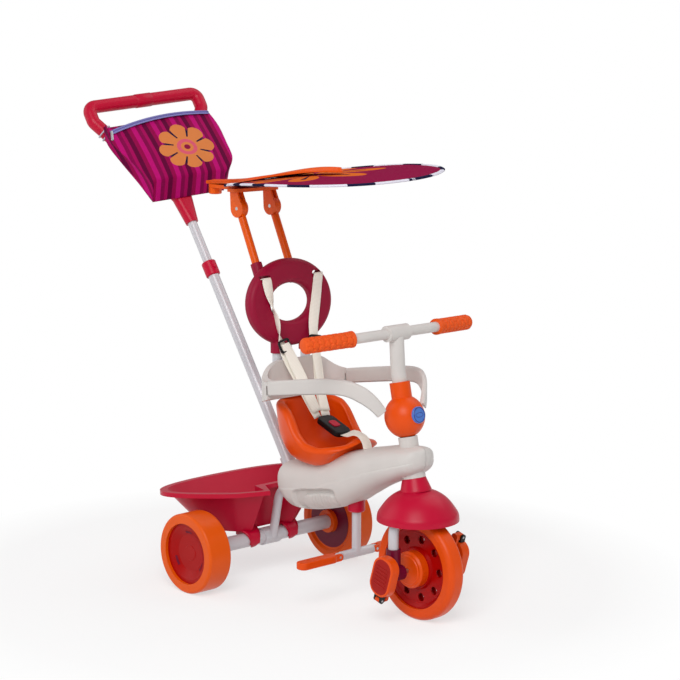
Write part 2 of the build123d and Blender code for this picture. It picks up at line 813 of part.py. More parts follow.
with BuildPart() as grips:
    for side in (-1, 1):
        tip = bar_point(bar_half_length, side)
        inward = (bar_point(bar_straight, side) - tip).normalized()
        start = tip - inward * grip_end
        with BuildSketch(Plane(origin=start, z_dir=inward)):
            Circle(grip_radius)
        extrude(amount=grip_length)
        with BuildSketch(Plane(origin=start + inward * (grip_length - grip_flange), z_dir=inward)):
            Circle(grip_flange_radius)
        extrude(amount=grip_flange)
        with BuildSketch(Plane(origin=tip, z_dir=inward)):
            Circle(bar_radius)
        extrude(amount=grip_length, mode=Mode.SUBTRACT)
finish(grips.part, "grips")

# ---------------------------------------------------------------- main frame
strut_foot = Vector(strut_foot_x, 0, rear_wheel_radius)
strut_top = Vector(strut_top_x, 0, strut_top_z)
head_joint = steer_base + steer_axis * (head_base + head_tube_top) / 2
tube_way = (head_joint - strut_top).normalized()


def crossing(start, way, other, other_way):
    """Where two lines of the middle plane cross."""
    gap = other - start
    along = (gap.X * other_way.Z - gap.Z * other_way.X) / (way.X * other_way.Z - way.Z * other_way.X)
    return start + way * along


def bent_tube(radius, inner=0.0):
    """The main tube's run: up the strut and forward to the head tube."""
    with BuildPart() as tube:
        with BuildLine() as path:
            FilletPolyline(strut_foot, strut_top, head_joint, radius=main_tube_bend)
        with BuildSketch(Plane(origin=path.line @ 0, z_dir=path.line % 0)):
            Circle(radius)
            if inner > 0:
                Circle(inner, mode=Mode.SUBTRACT)
        sweep(path=path.line)
    return tube.part


pole_root = crossing(strut_top, tube_way, pole_point, pole_axis)
pole_foot = pole_root + pole_axis * (main_tube_radius + lower_pole_radius * 0.45)
sleeve_radius = lower_pole_radius + running_gap + saddle_wall
sleeve_length = 70.0

with BuildPart() as main_frame:
    add(bent_tube(main_tube_radius))
    add(rod(pole_root, pole_root + pole_axis * sleeve_length, sleeve_radius))
    add(rod(pole_foot, pole_root + pole_axis * 2 * sleeve_length, lower_pole_radius + running_gap),
        mode=Mode.SUBTRACT)
    with BuildSketch(facing_plane(rear_axle, saddle_half_width, 1)):
        Circle(axle_tube_radius + saddle_wall)
    extrude(amount=-2 * saddle_half_width)
    with BuildSketch(facing_plane(rear_axle, axle_tube_end, 1)):
        Circle(axle_tube_radius)
    extrude(amount=-2 * axle_tube_end, mode=Mode.SUBTRACT)
    with BuildSketch(steer_plane(0)):
        Circle(head_tube_radius)
    extrude(amount=housing_high, mode=Mode.SUBTRACT)
finish(main_frame.part, "main_frame")

# ---------------------------------------------------------------- body covers
nose_center = steer_base + steer_axis * (head_base + head_tube_top) / 2
nose_front_x = nose_center.X + body_nose_radius
step_z = 213.0              # of the belly where the footrest stem leaves it

# sections across the body: distance forward, lowest, highest and half width
body_sections = (
    (body_rear_x, 236, 256, body_half_width * 0.55),
    (body_rear_x + 6, 218, 272, body_half_width * 0.75),
    (body_rear_x + 20, 201, 284, body_half_width * 0.92),
    (body_rear_x + 55, 182, 293, body_half_width),
    (205, 196, 313, body_half_width - 1),
    (footrest_x, step_z, 334, body_half_width - 4),
    (footrest_x + 50, 242, 346, body_half_width - 6),
    (footrest_x + 100, 271, 357, body_half_width - 8),
    (nose_center.X - 20, 294, 368, body_nose_radius + 1),
    (nose_center.X + 10, 307, 371, body_nose_radius),
    (nose_center.X + 34, 320, 371, body_nose_radius * 0.8),
    (nose_front_x - 6, 328, 369, body_nose_radius * 0.5),
    (nose_front_x, 337, 362, body_nose_radius * 0.24),
)


def body_block(inset):
    """The outer form of the two covers, drawn in by an inset."""
    with BuildPart() as block:
        for place, low, high, half in body_sections:
            shift = inset * (1 - 2 * (place - body_rear_x) / (nose_front_x - body_rear_x))
            height = high - low - 2 * inset
            width = 2 * (half - inset)
            section = Plane(origin=(place + shift, 0, (low + high) / 2), x_dir=(0, 1, 0), z_dir=(1, 0, 0))
            with BuildSketch(section):
                RectangleRounded(width, height, min(width, height) * 0.4)
        loft()
    return block.part


screw_places = ((body_rear_x + 60, 270), (body_rear_x + 60, 215), (footrest_x - 40, 225),
                (footrest_x + 34, 326), (nose_center.X - 50, 350))
screw_hold = 20.0
screw_sink = 12.0
footrest_top_x = footrest_x + 6.0
ring_cut = neck_top_radius + 3 * clearance
outer_block = body_block(0)
inner_block = body_block(body_wall)

with BuildPart() as body_shell:
    add(outer_block)
    add(inner_block, mode=Mode.SUBTRACT)
    for place_x, place_z in screw_places:
        screw_plane = Plane(origin=(place_x, body_half_width, place_z), x_dir=(1, 0, 0), z_dir=(0, -1, 0))
        with BuildSketch(screw_plane):
            Circle(screw_boss_radius)
        extrude(amount=2 * body_half_width)
    add(outer_block, mode=Mode.INTERSECT)
    add(bent_tube(main_tube_radius + clearance), mode=Mode.SUBTRACT)
    add(rod(pole_root, pole_root + pole_axis * 2 * sleeve_length, sleeve_radius + clearance),
        mode=Mode.SUBTRACT)
    with BuildSketch(steer_section()):
        with BuildLine():
            Polyline((0, -neck_height), (neck_base_radius, -neck_height), (neck_base_radius, neck_height / 2),
                     (ring_cut, neck_height / 2), (ring_cut, head_base + clearance),
                     (head_tube_radius + clearance, head_base + clearance),
                     (head_tube_radius + clearance, head_tube_top + neck_height),
                     (0, head_tube_top + neck_height), close=True)
        make_face()
    revolve(axis=Axis(steer_base, steer_axis), mode=Mode.SUBTRACT)
    with BuildSketch(Plane.XY.offset(body_belly_z) * Location((footrest_top_x, 0, 0))):
        Circle(footrest_collar_radius + clearance)
    extrude(amount=footrest_collar_high + clearance - body_belly_z, mode=Mode.SUBTRACT)


def body_cover(side):
    """One half of the body, split along the middle, with screw holes sunk from the right."""
    screw_side = side < 0
    with BuildPart() as cover:
        add(body_shell.part)
        split(bisect_by=Plane.XZ, keep=Keep.TOP if screw_side else Keep.BOTTOM)
        for place_x, place_z in screw_places:
            with BuildSketch(Plane(origin=(place_x, 0, place_z), x_dir=(1, 0, 0), z_dir=(0, side, 0))):
                Circle(screw_radius)
            extrude(amount=screw_hold, mode=Mode.SUBTRACT)
            if screw_side:
                with BuildSketch(Plane(origin=(place_x, -screw_sink, place_z), x_dir=(1, 0, 0),
                                       z_dir=(0, -1, 0))):
                    Circle(screw_head_radius)
                extrude(amount=body_half_width, mode=Mode.SUBTRACT)
    return cover.part


for side in (-1, 1):
    finish(body_cover(side), side_name("body_cover", side))

with BuildPart() as cover_screws:
    for place_x, place_z in screw_places:
        with BuildSketch(Plane(origin=(place_x, screw_hold, place_z), x_dir=(1, 0, 0), z_dir=(0, -1, 0))):
            Circle(screw_radius)
        extrude(amount=screw_hold + screw_sink)
        with BuildSketch(Plane(origin=(place_x, -screw_sink, place_z), x_dir=(1, 0, 0), z_dir=(0, -1, 0))):
            Circle(screw_head_radius)
        extrude(amount=screw_head)
finish(cover_screws.part, "cover_screws")

# ---------------------------------------------------------------- footrest
arm_end_y = peg_hinge_y - peg_thickness / 2 - 1.0
peg_tongue = 8.0
frame_over_stem = crossing(strut_top, tube_way, Vector(footrest_top_x, 0, 0), Vector(0, 0, 1))

with BuildPart() as footrest_stem:
    add(rod((footrest_top_x, 0, footrest_arm_z), frame_over_stem, footrest_post_radius))
    add(rod((footrest_top_x, -arm_end_y, footrest_arm_z), (footrest_top_x, arm_end_y, footrest_arm_z),
            footrest_arm_radius))
    for side in (-1, 1):
        with BuildSketch(Plane(origin=(footrest_top_x, side * peg_hinge_y, footrest_arm_z),
                               x_dir=(0, 1, 0), z_dir=(1, 0, 0))):
            Circle(peg_thickness / 2)
            with Locations((-side * peg_thickness / 2, 0)):
                Rectangle(peg_thickness, peg_thickness)
        extrude(amount=peg_tongue / 2, both=True)
        with BuildSketch(Plane(origin=(footrest_top_x, side * peg_hinge_y, footrest_arm_z),
                               x_dir=(0, 1, 0), z_dir=(1, 0, 0))):
            Circle(peg_pin_radius)
        extrude(amount=peg_tongue, both=True, mode=Mode.SUBTRACT)
    add(bent_tube(main_tube_radius + running_gap), mode=Mode.SUBTRACT)
finish(footrest_stem.part, "footrest_stem")

peg_ear_in = peg_tongue / 2 + clearance
with BuildPart() as peg_pins:
    for side in (-1, 1):
        with BuildSketch(Plane(origin=(footrest_top_x, side * peg_hinge_y, footrest_arm_z),
                               x_dir=(0, 1, 0), z_dir=(1, 0, 0))):
            Circle(peg_pin_radius)
        extrude(amount=peg_ear_in + peg_ear, both=True)

with BuildPart() as footrest_collar:
    with BuildSketch(Plane.XY.offset(footrest_collar_low) * Location((footrest_top_x, 0, 0))):
        Circle(footrest_collar_radius)
        Circle(footrest_post_radius + running_gap, mode=Mode.SUBTRACT)
    extrude(amount=footrest_collar_high - footrest_collar_low)
    chamfer(footrest_collar.edges().group_by(Axis.Z)[0].sort_by(SortBy.RADIUS)[-1], 3.0)
finish(footrest_collar.part, "footrest_collar")


def foot_peg(side):
    """Flat rounded bar, forked over the tongue of the cross tube, which folds up."""
    hinge = Vector(footrest_top_x, side * peg_hinge_y, footrest_arm_z)
    bar_start = peg_thickness / 2 + 1.0
    with BuildPart() as peg:
        with BuildSketch(Plane(origin=hinge, x_dir=(0, side, 0), z_dir=(0, 0, 1))):
            with Locations((bar_start + peg_length / 2, 0)):
                RectangleRounded(peg_length, peg_width, peg_width * 0.45)
        extrude(amount=peg_thickness / 2, both=True)
        fillet(peg.faces().filter_by(Axis.Z).edges(), 3.0)
        for ear in (-1, 1):
            with BuildSketch(Plane(origin=hinge + Vector(ear * peg_ear_in, 0, 0), x_dir=(0, side, 0),
                                   z_dir=(ear, 0, 0))):
                Circle(peg_thickness / 2)
                with Locations((peg_thickness, 0)):
                    Rectangle(2 * peg_thickness, peg_thickness)
                Circle(peg_pin_radius + running_gap, mode=Mode.SUBTRACT)
            extrude(amount=peg_ear)
    return peg.part


for side in (-1, 1):
    finish(foot_peg(side), side_name("foot_peg", side))

# ---------------------------------------------------------------- seat
# plan sections of the bucket: height, rear, front and half width
seat_sections = (
    (seat_floor_z, 128, 276, 62),
    (seat_floor_z + 12, 112, 300, 76),
    (seat_floor_z + 34, 98, seat_front_x - 5, seat_half_width - 8),
    (seat_floor_z + 66, 86, seat_front_x, seat_half_width - 1),
    (seat_rim_z, seat_rear_x, seat_front_x - 2, seat_half_width),
)


def seat_form(inset, lift):
    """The bucket's round form, drawn in by an inset and raised by a lift."""
    with BuildPart() as form:
        for height, rear, front, half in seat_sections:
            middle = (rear + front) / 2
            with BuildSketch(Plane(origin=(middle, 0, height + lift), x_dir=(1, 0, 0), z_dir=(0, 0, 1))):
                RectangleRounded(front - rear - 2 * inset, 2 * (half - inset), (half - inset) * 0.72)
        loft()
    return form.part


pommel_rear_x = 240.0
pommel_half_width = 22.0
with BuildPart() as seat_shell:
    add(seat_form(0, 0))
    add(seat_form(seat_wall, seat_wall), mode=Mode.SUBTRACT)
    with BuildSketch(Plane(origin=(0, 0, 0), x_dir=(1, 0, 0), z_dir=(0, -1, 0))):
        with BuildLine():
            rim = Spline((120, seat_rim_z), (150, seat_rim_z - 5), (174, seat_rim_z - 22),
                         (194, seat_rim_z - 54), (215, seat_rim_z - 80), (250, seat_rim_z - 87),
                         (290, seat_rim_z - 95), (seat_front_x + 10, seat_rim_z - 100),
                         tangents=((1, 0), (1, -0.1)))
            Polyline(rim @ 1, (seat_front_x + 10, seat_rim_z + 60), (120, seat_rim_z + 60), rim @ 0)
        make_face()
    extrude(amount=seat_half_width + 5, both=True, mode=Mode.SUBTRACT)
    with BuildSketch(Plane(origin=(0, 0, 0), x_dir=(1, 0, 0), z_dir=(0, -1, 0))):
        with BuildLine():
            hump = Spline((pommel_rear_x, seat_floor_z + seat_wall), (266, seat_pommel_z - 18),
                          (296, seat_pommel_z), (seat_front_x - 6, seat_pommel_z - 9),
                          (seat_front_x - 1, seat_floor_z + 34), tangents=((0.3, 1), (-0.1, -1)))
            Polyline(hump @ 1, (seat_front_x - 24, seat_floor_z + 8), (pommel_rear_x, seat_floor_z + 2),
                     hump @ 0)
        make_face()
    extrude(amount=pommel_half_width, both=True)
    with BuildSketch(Plane(origin=(0, 0, 0), x_dir=(1, 0, 0), z_dir=(0, -1, 0))):
        Polygon((pommel_rear_x + 16, seat_floor_z + seat_wall / 2), (pommel_rear_x + 26, seat_pommel_z - 21),
                (seat_front_x - 6, seat_pommel_z - 12), (seat_front_x - 2, seat_pommel_z - 16),
                (seat_front_x - 6, seat_floor_z + 3 * seat_wall),
                (seat_front_x - 26, seat_floor_z + seat_wall),
                align=None)
    extrude(amount=body_half_width + seat_wall / 2, both=True)
    add(body_block(-clearance), mode=Mode.SUBTRACT)
finish(seat_shell.part, "seat_shell")

# ---------------------------------------------------------------- surround and safety arms
arm_slope = math.tan(math.radians(arm_rise))
ear_reach = arm_band / 2 - arm_ear
hinge_round = surround_thickness / 2


def band_height(x):
    """Height of the arm band's middle line over a place along its straight run."""
    return arm_hinge_z + (x - arm_hinge_x) * arm_slope


with BuildPart() as seat_surround:
    with BuildSketch(Plane.XY):
        with BuildLine() as course:
            FilletPolyline((arm_hinge_x, -surround_half_width), (surround_rear_x, -surround_half_width),
                           (surround_rear_x, surround_half_width), (arm_hinge_x, surround_half_width),
                           radius=surround_corner - 8)
        trace(line_width=surround_thickness)
    extrude(amount=2 * seat_rim_z)
    with BuildSketch(Plane(origin=(0, 0, 0), x_dir=(1, 0, 0), z_dir=(0, -1, 0))):
        end_x = arm_hinge_x + hinge_round
        Polygon((surround_rear_x - 20, surround_top_z), (end_x, surround_top_z),
                (end_x, band_height(end_x) - arm_band / 2), (surround_rear_x + 8, seat_rim_z),
                (surround_rear_x - 20, seat_rim_z), align=None)
    extrude(amount=2 * surround_half_width, both=True, mode=Mode.INTERSECT)
    arm_top_z = arm_hinge_z + arm_band / 2
    with BuildSketch(Plane(origin=(0, 0, 0), x_dir=(0, 1, 0), z_dir=(1, 0, 0))):
        with BuildLine():
            for hand in (-1, 1):
                crest = Spline((hand * (surround_half_width + surround_thickness), arm_top_z),
                               (hand * (surround_half_width - 8), arm_top_z + 6),
                               (hand * surround_crest, surround_top_z), tangents=((-hand, 0), (-hand, 0)))
                Line(crest @ 0, (hand * (surround_half_width + surround_thickness), seat_rim_z))
            Line((-surround_crest, surround_top_z), (surround_crest, surround_top_z))
            Line((-surround_half_width - surround_thickness, seat_rim_z),
                 (surround_half_width + surround_thickness, seat_rim_z))
        make_face()
    extrude(amount=2 * arm_hinge_x, mode=Mode.INTERSECT)
    for side in (-1, 1):
        pin_low = (arm_hinge_x, side * surround_half_width, arm_hinge_z - ear_reach - clearance)
        pin_plane = Plane(origin=pin_low,
                          x_dir=(1, 0, 0), z_dir=(0, 0, 1))
        with BuildSketch(pin_plane):
            Circle(hinge_round + 1.0)
            with Locations((hinge_round, 0)):
                Rectangle(2 * hinge_round, 4 * hinge_round)
        extrude(amount=2 * (ear_reach + clearance), mode=Mode.SUBTRACT)
        with BuildSketch(pin_plane):
            Circle(arm_pin_radius)
        extrude(amount=2 * (ear_reach + clearance))
    with BuildSketch(Plane.XY.offset(seat_rim_z - 20)):
        for side in (-1, 1):
            with Locations((arm_hinge_x + 2 * hinge_round, side * surround_half_width)):
                Rectangle(4 * hinge_round, 4 * hinge_round)
            with Locations((arm_hinge_x, side * surround_half_width)):
                Circle(hinge_round, mode=Mode.SUBTRACT)
    extrude(amount=2 * surround_top_z, mode=Mode.SUBTRACT)
finish(seat_surround.part, "seat_surround")


def safety_arm(side):
    """Band that runs forward beside the child and bends in and down to its tip."""
    with BuildPart() as arm:
        with BuildSketch(Plane.XY):
            with BuildLine():
                start = (arm_hinge_x, side * surround_half_width)
                run = Line(start, (arm_straight_x, side * surround_half_width))
                Spline(run @ 1, (arm_straight_x + 62, side * (surround_half_width - 21)),
                       (arm_tip_x, side * arm_tip_y), tangents=((1, 0), (0.2, -side)))
            trace(line_width=surround_thickness)
        extrude(amount=2 * seat_rim_z)
        with BuildSketch(Plane(origin=(0, 0, 0), x_dir=(1, 0, 0), z_dir=(0, -1, 0))):
            with BuildLine():
                bend_x = arm_straight_x + 30
                lower = Polyline((arm_hinge_x - hinge_round, band_height(arm_hinge_x) - arm_band / 2),
                                 (arm_hinge_x, band_height(arm_hinge_x) - arm_band / 2),
                                 (arm_straight_x - 30, band_height(arm_straight_x - 30) - arm_band / 2))
                fall = Spline(lower @ 1, (bend_x + 6, arm_tip_z + 16),
                              (arm_tip_x + 12, arm_tip_z - arm_band / 2),
                              tangents=((1, arm_slope), (0.6, -1)))
                rise = Spline((arm_tip_x + 14, arm_tip_z + arm_band / 2), (bend_x + 24, arm_tip_z + 52),
                              (bend_x - 10, band_height(bend_x - 10) + arm_band / 2),
                              tangents=((-0.3, 1), (-1, -arm_slope)))
                Line(fall @ 1, rise @ 0)
                Polyline(rise @ 1, (arm_hinge_x, band_height(arm_hinge_x) + arm_band / 2),
                         (arm_hinge_x - hinge_round, band_height(arm_hinge_x) + arm_band / 2), lower @ 0)
            make_face()
        extrude(amount=2 * surround_half_width, both=True, mode=Mode.INTERSECT)
        with BuildSketch(Plane.XY.offset(seat_rim_z - 20)):
            with Locations((arm_hinge_x, side * surround_half_width)):
                Circle(hinge_round + 1.0 + clearance)
        extrude(amount=2 * surround_top_z, mode=Mode.SUBTRACT)
        tongue_plane = Plane(origin=(arm_hinge_x, side * surround_half_width, arm_hinge_z - ear_reach),
                             x_dir=(1, 0, 0), z_dir=(0, 0, 1))
        with BuildSketch(tongue_plane):
            Circle(hinge_round)
            with Locations((hinge_round, 0)):
                Rectangle(2 * hinge_round + 4, surround_thickness)
        extrude(amount=2 * ear_reach)
        with BuildSketch(tongue_plane):
            Circle(arm_pin_radius + running_gap)
        extrude(amount=2 * ear_reach, mode=Mode.SUBTRACT)
    return arm.part


for side in (-1, 1):
    finish(safety_arm(side), side_name("safety_arm", side))

# ---------------------------------------------------------------- backrest
lean_sine = math.sin(math.radians(back_lean))
lean_cosine = math.cos(math.radians(back_lean))
back_center = Vector(back_center_x, 0, back_center_z)
back_plane = Plane(origin=back_center, x_dir=(0, 1, 0), z_dir=(lean_cosine, 0, lean_sine))
canopy_foot = Vector(canopy_foot_x, 0, canopy_foot_z)
canopy_pivot = Vector(canopy_pivot_x, 0, canopy_pivot_z)
canopy_way = (canopy_pivot - canopy_foot).normalized()
canopy_post_foot = canopy_foot - canopy_way * canopy_socket_depth

with BuildPart() as seat_back:
    with BuildSketch(back_plane.offset(-back_thickness / 2)):
        Ellipse(back_width / 2, back_height / 2)
        Ellipse(back_hole_width / 2, back_hole_height / 2, mode=Mode.SUBTRACT)
    extrude(amount=back_thickness)
    fillet(seat_back.faces().filter_by(Axis(back_center, back_plane.z_dir)).edges(), back_edge)
    for side in (-1, 1):
        with BuildSketch(Plane.XY.offset(post_socket_z) * Location((post_x, side * post_y, 0))):
            Circle(post_socket_radius)
        extrude(amount=post_top_z - post_socket_z + 10)
        socket_foot = canopy_post_foot - canopy_way * 6
        aside = Vector(0, side * canopy_post_y, 0)
        add(rod(socket_foot + aside, canopy_foot + aside,
                canopy_socket_radius))
        with BuildSketch(Plane(origin=(0, side * canopy_post_y, 0), x_dir=(1, 0, 0), z_dir=(0, -1, 0))):
            with BuildLine():
                Polyline((canopy_foot.X, canopy_foot.Z - 2), (back_center_x - 5, canopy_foot.Z - 24),
                         (back_center_x, socket_foot.Z), (socket_foot.X, socket_foot.Z + 2), close=True)
            make_face()
        extrude(amount=canopy_socket_radius * 0.6, both=True)
    for side in (-1, 1):
        with BuildSketch(Plane.XY.offset(seat_rim_z) * Location((post_x, side * post_y, 0))):
            Circle(post_radius)
        extrude(amount=post_top_z - seat_rim_z, mode=Mode.SUBTRACT)
        add(rod(canopy_post_foot + Vector(0, side * canopy_post_y, 0),
                canopy_pivot + Vector(0, side * canopy_post_y, 0), canopy_post_radius), mode=Mode.SUBTRACT)
    with BuildSketch(back_plane.offset(-back_thickness)):
        with Locations((-back_slot_y, back_slot_z), (back_slot_y, back_slot_z)):
            SlotOverall(back_slot_width, back_slot_height)
    extrude(amount=2 * back_thickness, mode=Mode.SUBTRACT)
finish(seat_back.part, "seat_back")

with BuildPart() as back_posts:
    for side in (-1, 1):
        with BuildSketch(Plane.XY.offset(seat_rim_z) * Location((post_x, side * post_y, 0))):
            Circle(post_radius)
            Circle(post_radius - pole_wall, mode=Mode.SUBTRACT)
        extrude(amount=post_top_z - seat_rim_z)
finish(back_posts.part, "back_posts")

# ---------------------------------------------------------------- canopy
post_neck = knuckle_radius + 2.0
rail_low = rail_z - rail_thickness / 2
rail_top = rail_z + rail_thickness / 2
ear_in_y = knuckle_width / 2 + clearance

with BuildPart() as canopy_posts:
    for side in (-1, 1):
        offset_y = Vector(0, side * canopy_post_y, 0)
        add(rod(canopy_post_foot + offset_y, canopy_pivot - canopy_way * post_neck + offset_y,
                canopy_post_radius))
        with BuildSketch(facing_plane(canopy_pivot, canopy_post_y - knuckle_width / 2, side)):
            Circle(knuckle_radius)
        extrude(amount=knuckle_width)
        neck_middle = canopy_pivot - canopy_way * (post_neck / 2)
        with BuildSketch(facing_plane(neck_middle, canopy_post_y - knuckle_width / 2, side, canopy_way)):
            Rectangle(post_neck, 2 * canopy_post_radius)
        extrude(amount=knuckle_width)
        with BuildSketch(facing_plane(canopy_pivot, 0, side)):
            Circle(hinge_pin_radius)
        extrude(amount=2 * canopy_post_y, mode=Mode.SUBTRACT)
finish(canopy_posts.part, "canopy_posts")

with BuildPart() as canopy_pins:
    for side in (-1, 1):
        with BuildSketch(facing_plane(canopy_pivot, canopy_post_y - ear_in_y - knuckle_ear, side)):
            Circle(hinge_pin_radius)
        extrude(amount=2 * (ear_in_y + knuckle_ear))
with BuildPart() as hinge_pins:
    add(canopy_pins.part)
    add(peg_pins.part)
finish(hinge_pins.part, "hinge_pins")

pitch_tangent = math.tan(math.radians(fabric_pitch))
roll_tangent = math.tan(math.radians(fabric_roll))
fabric_normal = Vector(-pitch_tangent, -roll_tangent, 1).normalized()
fabric_center = Vector(fabric_center_x, 0, fabric_center_z)
fabric_along = Vector(1, 0, pitch_tangent).normalized()
fabric_plane = Plane(origin=fabric_center, x_dir=fabric_along, z_dir=fabric_normal)
egg_steps = 24


def egg_point(step, inset=0.0):
    """Point of the fabric's outline, which is broader towards the front."""
    turn = 2 * math.pi * step / egg_steps
    across = (fabric_width / 2 - inset) * math.sin(turn) * (1 + fabric_narrowing * math.cos(turn))
    return ((fabric_length / 2 - inset) * math.cos(turn), across)


bow_radius = ((fabric_length / 2) ** 2 + fabric_bow ** 2) / (2 * fabric_bow)


def bowed_sheet(grow):
    """The canopy's fabric as one bowed sheet, thicker by a gap on both faces."""
    with BuildPart() as sheet:
        with BuildSketch(fabric_plane.offset(-4 * fabric_bow)):
            with BuildLine():
                Spline(*[egg_point(step, -grow) for step in range(egg_steps)], periodic=True)
            make_face()
        extrude(amount=8 * fabric_bow)
        bow_plane = Plane(origin=fabric_center, x_dir=fabric_along, z_dir=fabric_along.cross(fabric_normal))
        with BuildSketch(bow_plane):
            with Locations((0, -bow_radius)):
                Circle(bow_radius + grow)
                Circle(bow_radius - fabric_thickness - grow, mode=Mode.SUBTRACT)
        extrude(amount=fabric_width, both=True, mode=Mode.INTERSECT)
    return sheet.part


foot_top_x = canopy_pivot_x - 10.0
with BuildPart() as canopy_rail:
    with BuildSketch(Plane.XY.offset(rail_low)):
        with Locations((foot_top_x, 0)):
            RectangleRounded(2 * knuckle_radius, 2 * rail_half_width, knuckle_radius * 0.6)
        with BuildLine():
            Polyline((foot_top_x, rail_half_width * 0.5), (foot_top_x, -rail_half_width * 0.5),
                     (rail_rear_x + knob_radius, -knob_radius), (rail_rear_x + knob_radius, knob_radius),
                     close=True)
        make_face()
        with Locations((rail_rear_x + knob_radius, 0)):
            Circle(knob_radius)
    extrude(amount=rail_thickness)
    for side in (-1, 1):
        for ear in (-1, 1):
            ear_y = side * (canopy_post_y + ear * (ear_in_y + knuckle_ear / 2))
            ear_plane = Plane(origin=(0, ear_y, 0), x_dir=(1, 0, 0), z_dir=(0, -1, 0))
            with BuildSketch(ear_plane):
                with Locations((canopy_pivot_x, canopy_pivot_z)):
                    Circle(knuckle_radius)
                with BuildLine():
                    Polyline((canopy_pivot_x - knuckle_radius, canopy_pivot_z),
                             (canopy_pivot_x + knuckle_radius, canopy_pivot_z),
                             (foot_top_x + knuckle_radius * 0.6, rail_low + 1),
                             (foot_top_x - knuckle_radius * 0.6, rail_low + 1), close=True)
                make_face()
                with Locations((canopy_pivot_x, canopy_pivot_z)):
                    Circle(hinge_pin_radius + running_gap, mode=Mode.SUBTRACT)
            extrude(amount=knuckle_ear / 2, both=True)
    add(bowed_sheet(clearance), mode=Mode.SUBTRACT)
finish(canopy_rail.part, "canopy_rail")

knob_center = Vector(rail_rear_x + knob_radius, 0, rail_low)
with BuildPart() as canopy_knob:
    with BuildSketch(Plane(origin=knob_center, x_dir=(1, 0, 0), z_dir=(0, 0, -1))):
        RegularPolygon(knob_radius, 8)
    extrude(amount=knob_height)
    fillet(canopy_knob.faces().sort_by(Axis.Z)[0].edges(), 3.0)
finish(canopy_knob.part, "canopy_knob")

finish(bowed_sheet(0), "canopy_fabric")

arm_reach = 80.0
with BuildPart() as canopy_arm:
    with BuildSketch(Plane.XY.offset(rail_low)):
        with BuildLine():
            nose = (fabric_center_x + arm_reach, 0)
            Spline(nose, (150, 30), (60, 54), (-40, 50), (-110, 26), (rail_rear_x, knob_radius),
                   tangents=((-0.8, 1), (-1, -0.2)))
            Spline(nose, (150, -30), (60, -54), (-40, -50), (-110, -26), (rail_rear_x, -knob_radius),
                   tangents=((-0.8, -1), (-1, 0.2)))
            Line((rail_rear_x, knob_radius), (rail_rear_x, -knob_radius))
        make_face()
    extrude(amount=100)
    with BuildSketch(Plane(origin=(0, 0, 0), x_dir=(1, 0, 0), z_dir=(0, -1, 0))):
        with BuildLine():
            upper = Spline((rail_rear_x - 1, rail_top + arm_plate_thickness), (-120, rail_top + 12),
                           (-58, 907), (77.5, 927), (fabric_center_x + arm_reach, 941))
            under = Spline((rail_rear_x - 1, rail_top), (-120, rail_top + 12 - arm_plate_thickness),
                           (-58, 907 - arm_plate_thickness), (77.5, 927 - arm_plate_thickness * 0.7),
                           (fabric_center_x + arm_reach, 941 - 3))
            Line(upper @ 0, under @ 0)
            Line(upper @ 1, under @ 1)
        make_face()
    extrude(amount=rail_half_width * 2, both=True, mode=Mode.INTERSECT)
    add(bowed_sheet(clearance), mode=Mode.SUBTRACT)
finish(canopy_arm.part, "canopy_arm")

# ---------------------------------------------------------------- push pole, handle and bag
collar_half = pole_collar_length / 2

with BuildPart() as push_pole_lower:
    add(rod(pole_foot + pole_axis * clearance, pole_point + pole_axis * (collar_half - 4), lower_pole_radius,
            upper_pole_radius + running_gap))
finish(push_pole_lower.part, "push_pole_lower")

with BuildPart() as pole_collar:
    with BuildSketch(pole_plane(-collar_half)):
        Circle(pole_collar_radius)
        Circle(lower_pole_radius, mode=Mode.SUBTRACT)
    extrude(amount=pole_collar_length)
    fillet(pole_collar.edges().filter_by(lambda e: e.length > 6 * pole_collar_radius), 3.0)
    with BuildSketch(pole_plane(collar_half)):
        Circle(lower_pole_radius + 1)
        Circle(upper_pole_radius + running_gap, mode=Mode.SUBTRACT)
    extrude(amount=-4)
    button_plane = Plane(origin=pole_point, x_dir=(0, 1, 0), z_dir=(pole_axis.Z, 0, -pole_axis.X))
    with BuildSketch(button_plane.offset(lower_pole_radius)):
        Circle(button_radius + running_gap)
    extrude(amount=pole_collar_radius, mode=Mode.SUBTRACT)
finish(pole_collar.part, "pole_collar")

button_travel = 2.5
with BuildPart() as pole_button:
    with BuildSketch(button_plane.offset(lower_pole_radius + button_travel + clearance)):
        Circle(button_radius)
    extrude(amount=pole_collar_radius - lower_pole_radius)
    fillet(pole_button.edges().sort_by(Axis.X)[-1], 1.0)
finish(pole_button.part, "pole_button")

turn_angle = math.radians(handle_turn)
handle_across = Vector(0, math.cos(turn_angle), 0) + pole_axis.cross(Vector(0, 1, 0)) * math.sin(turn_angle)
handle_normal = handle_across.cross(pole_axis)
handle_center = pole_point + pole_axis * bar_height
handle_plane = Plane(origin=handle_center, x_dir=handle_across, z_dir=handle_normal)

with BuildPart() as push_pole_upper:
    pole_low = pole_point - pole_axis * pole_insert
    add(rod(pole_low, handle_center - pole_axis * (handle_neck_top + 10), upper_pole_radius,
            upper_pole_radius - pole_wall))
finish(push_pole_upper.part, "push_pole_upper")

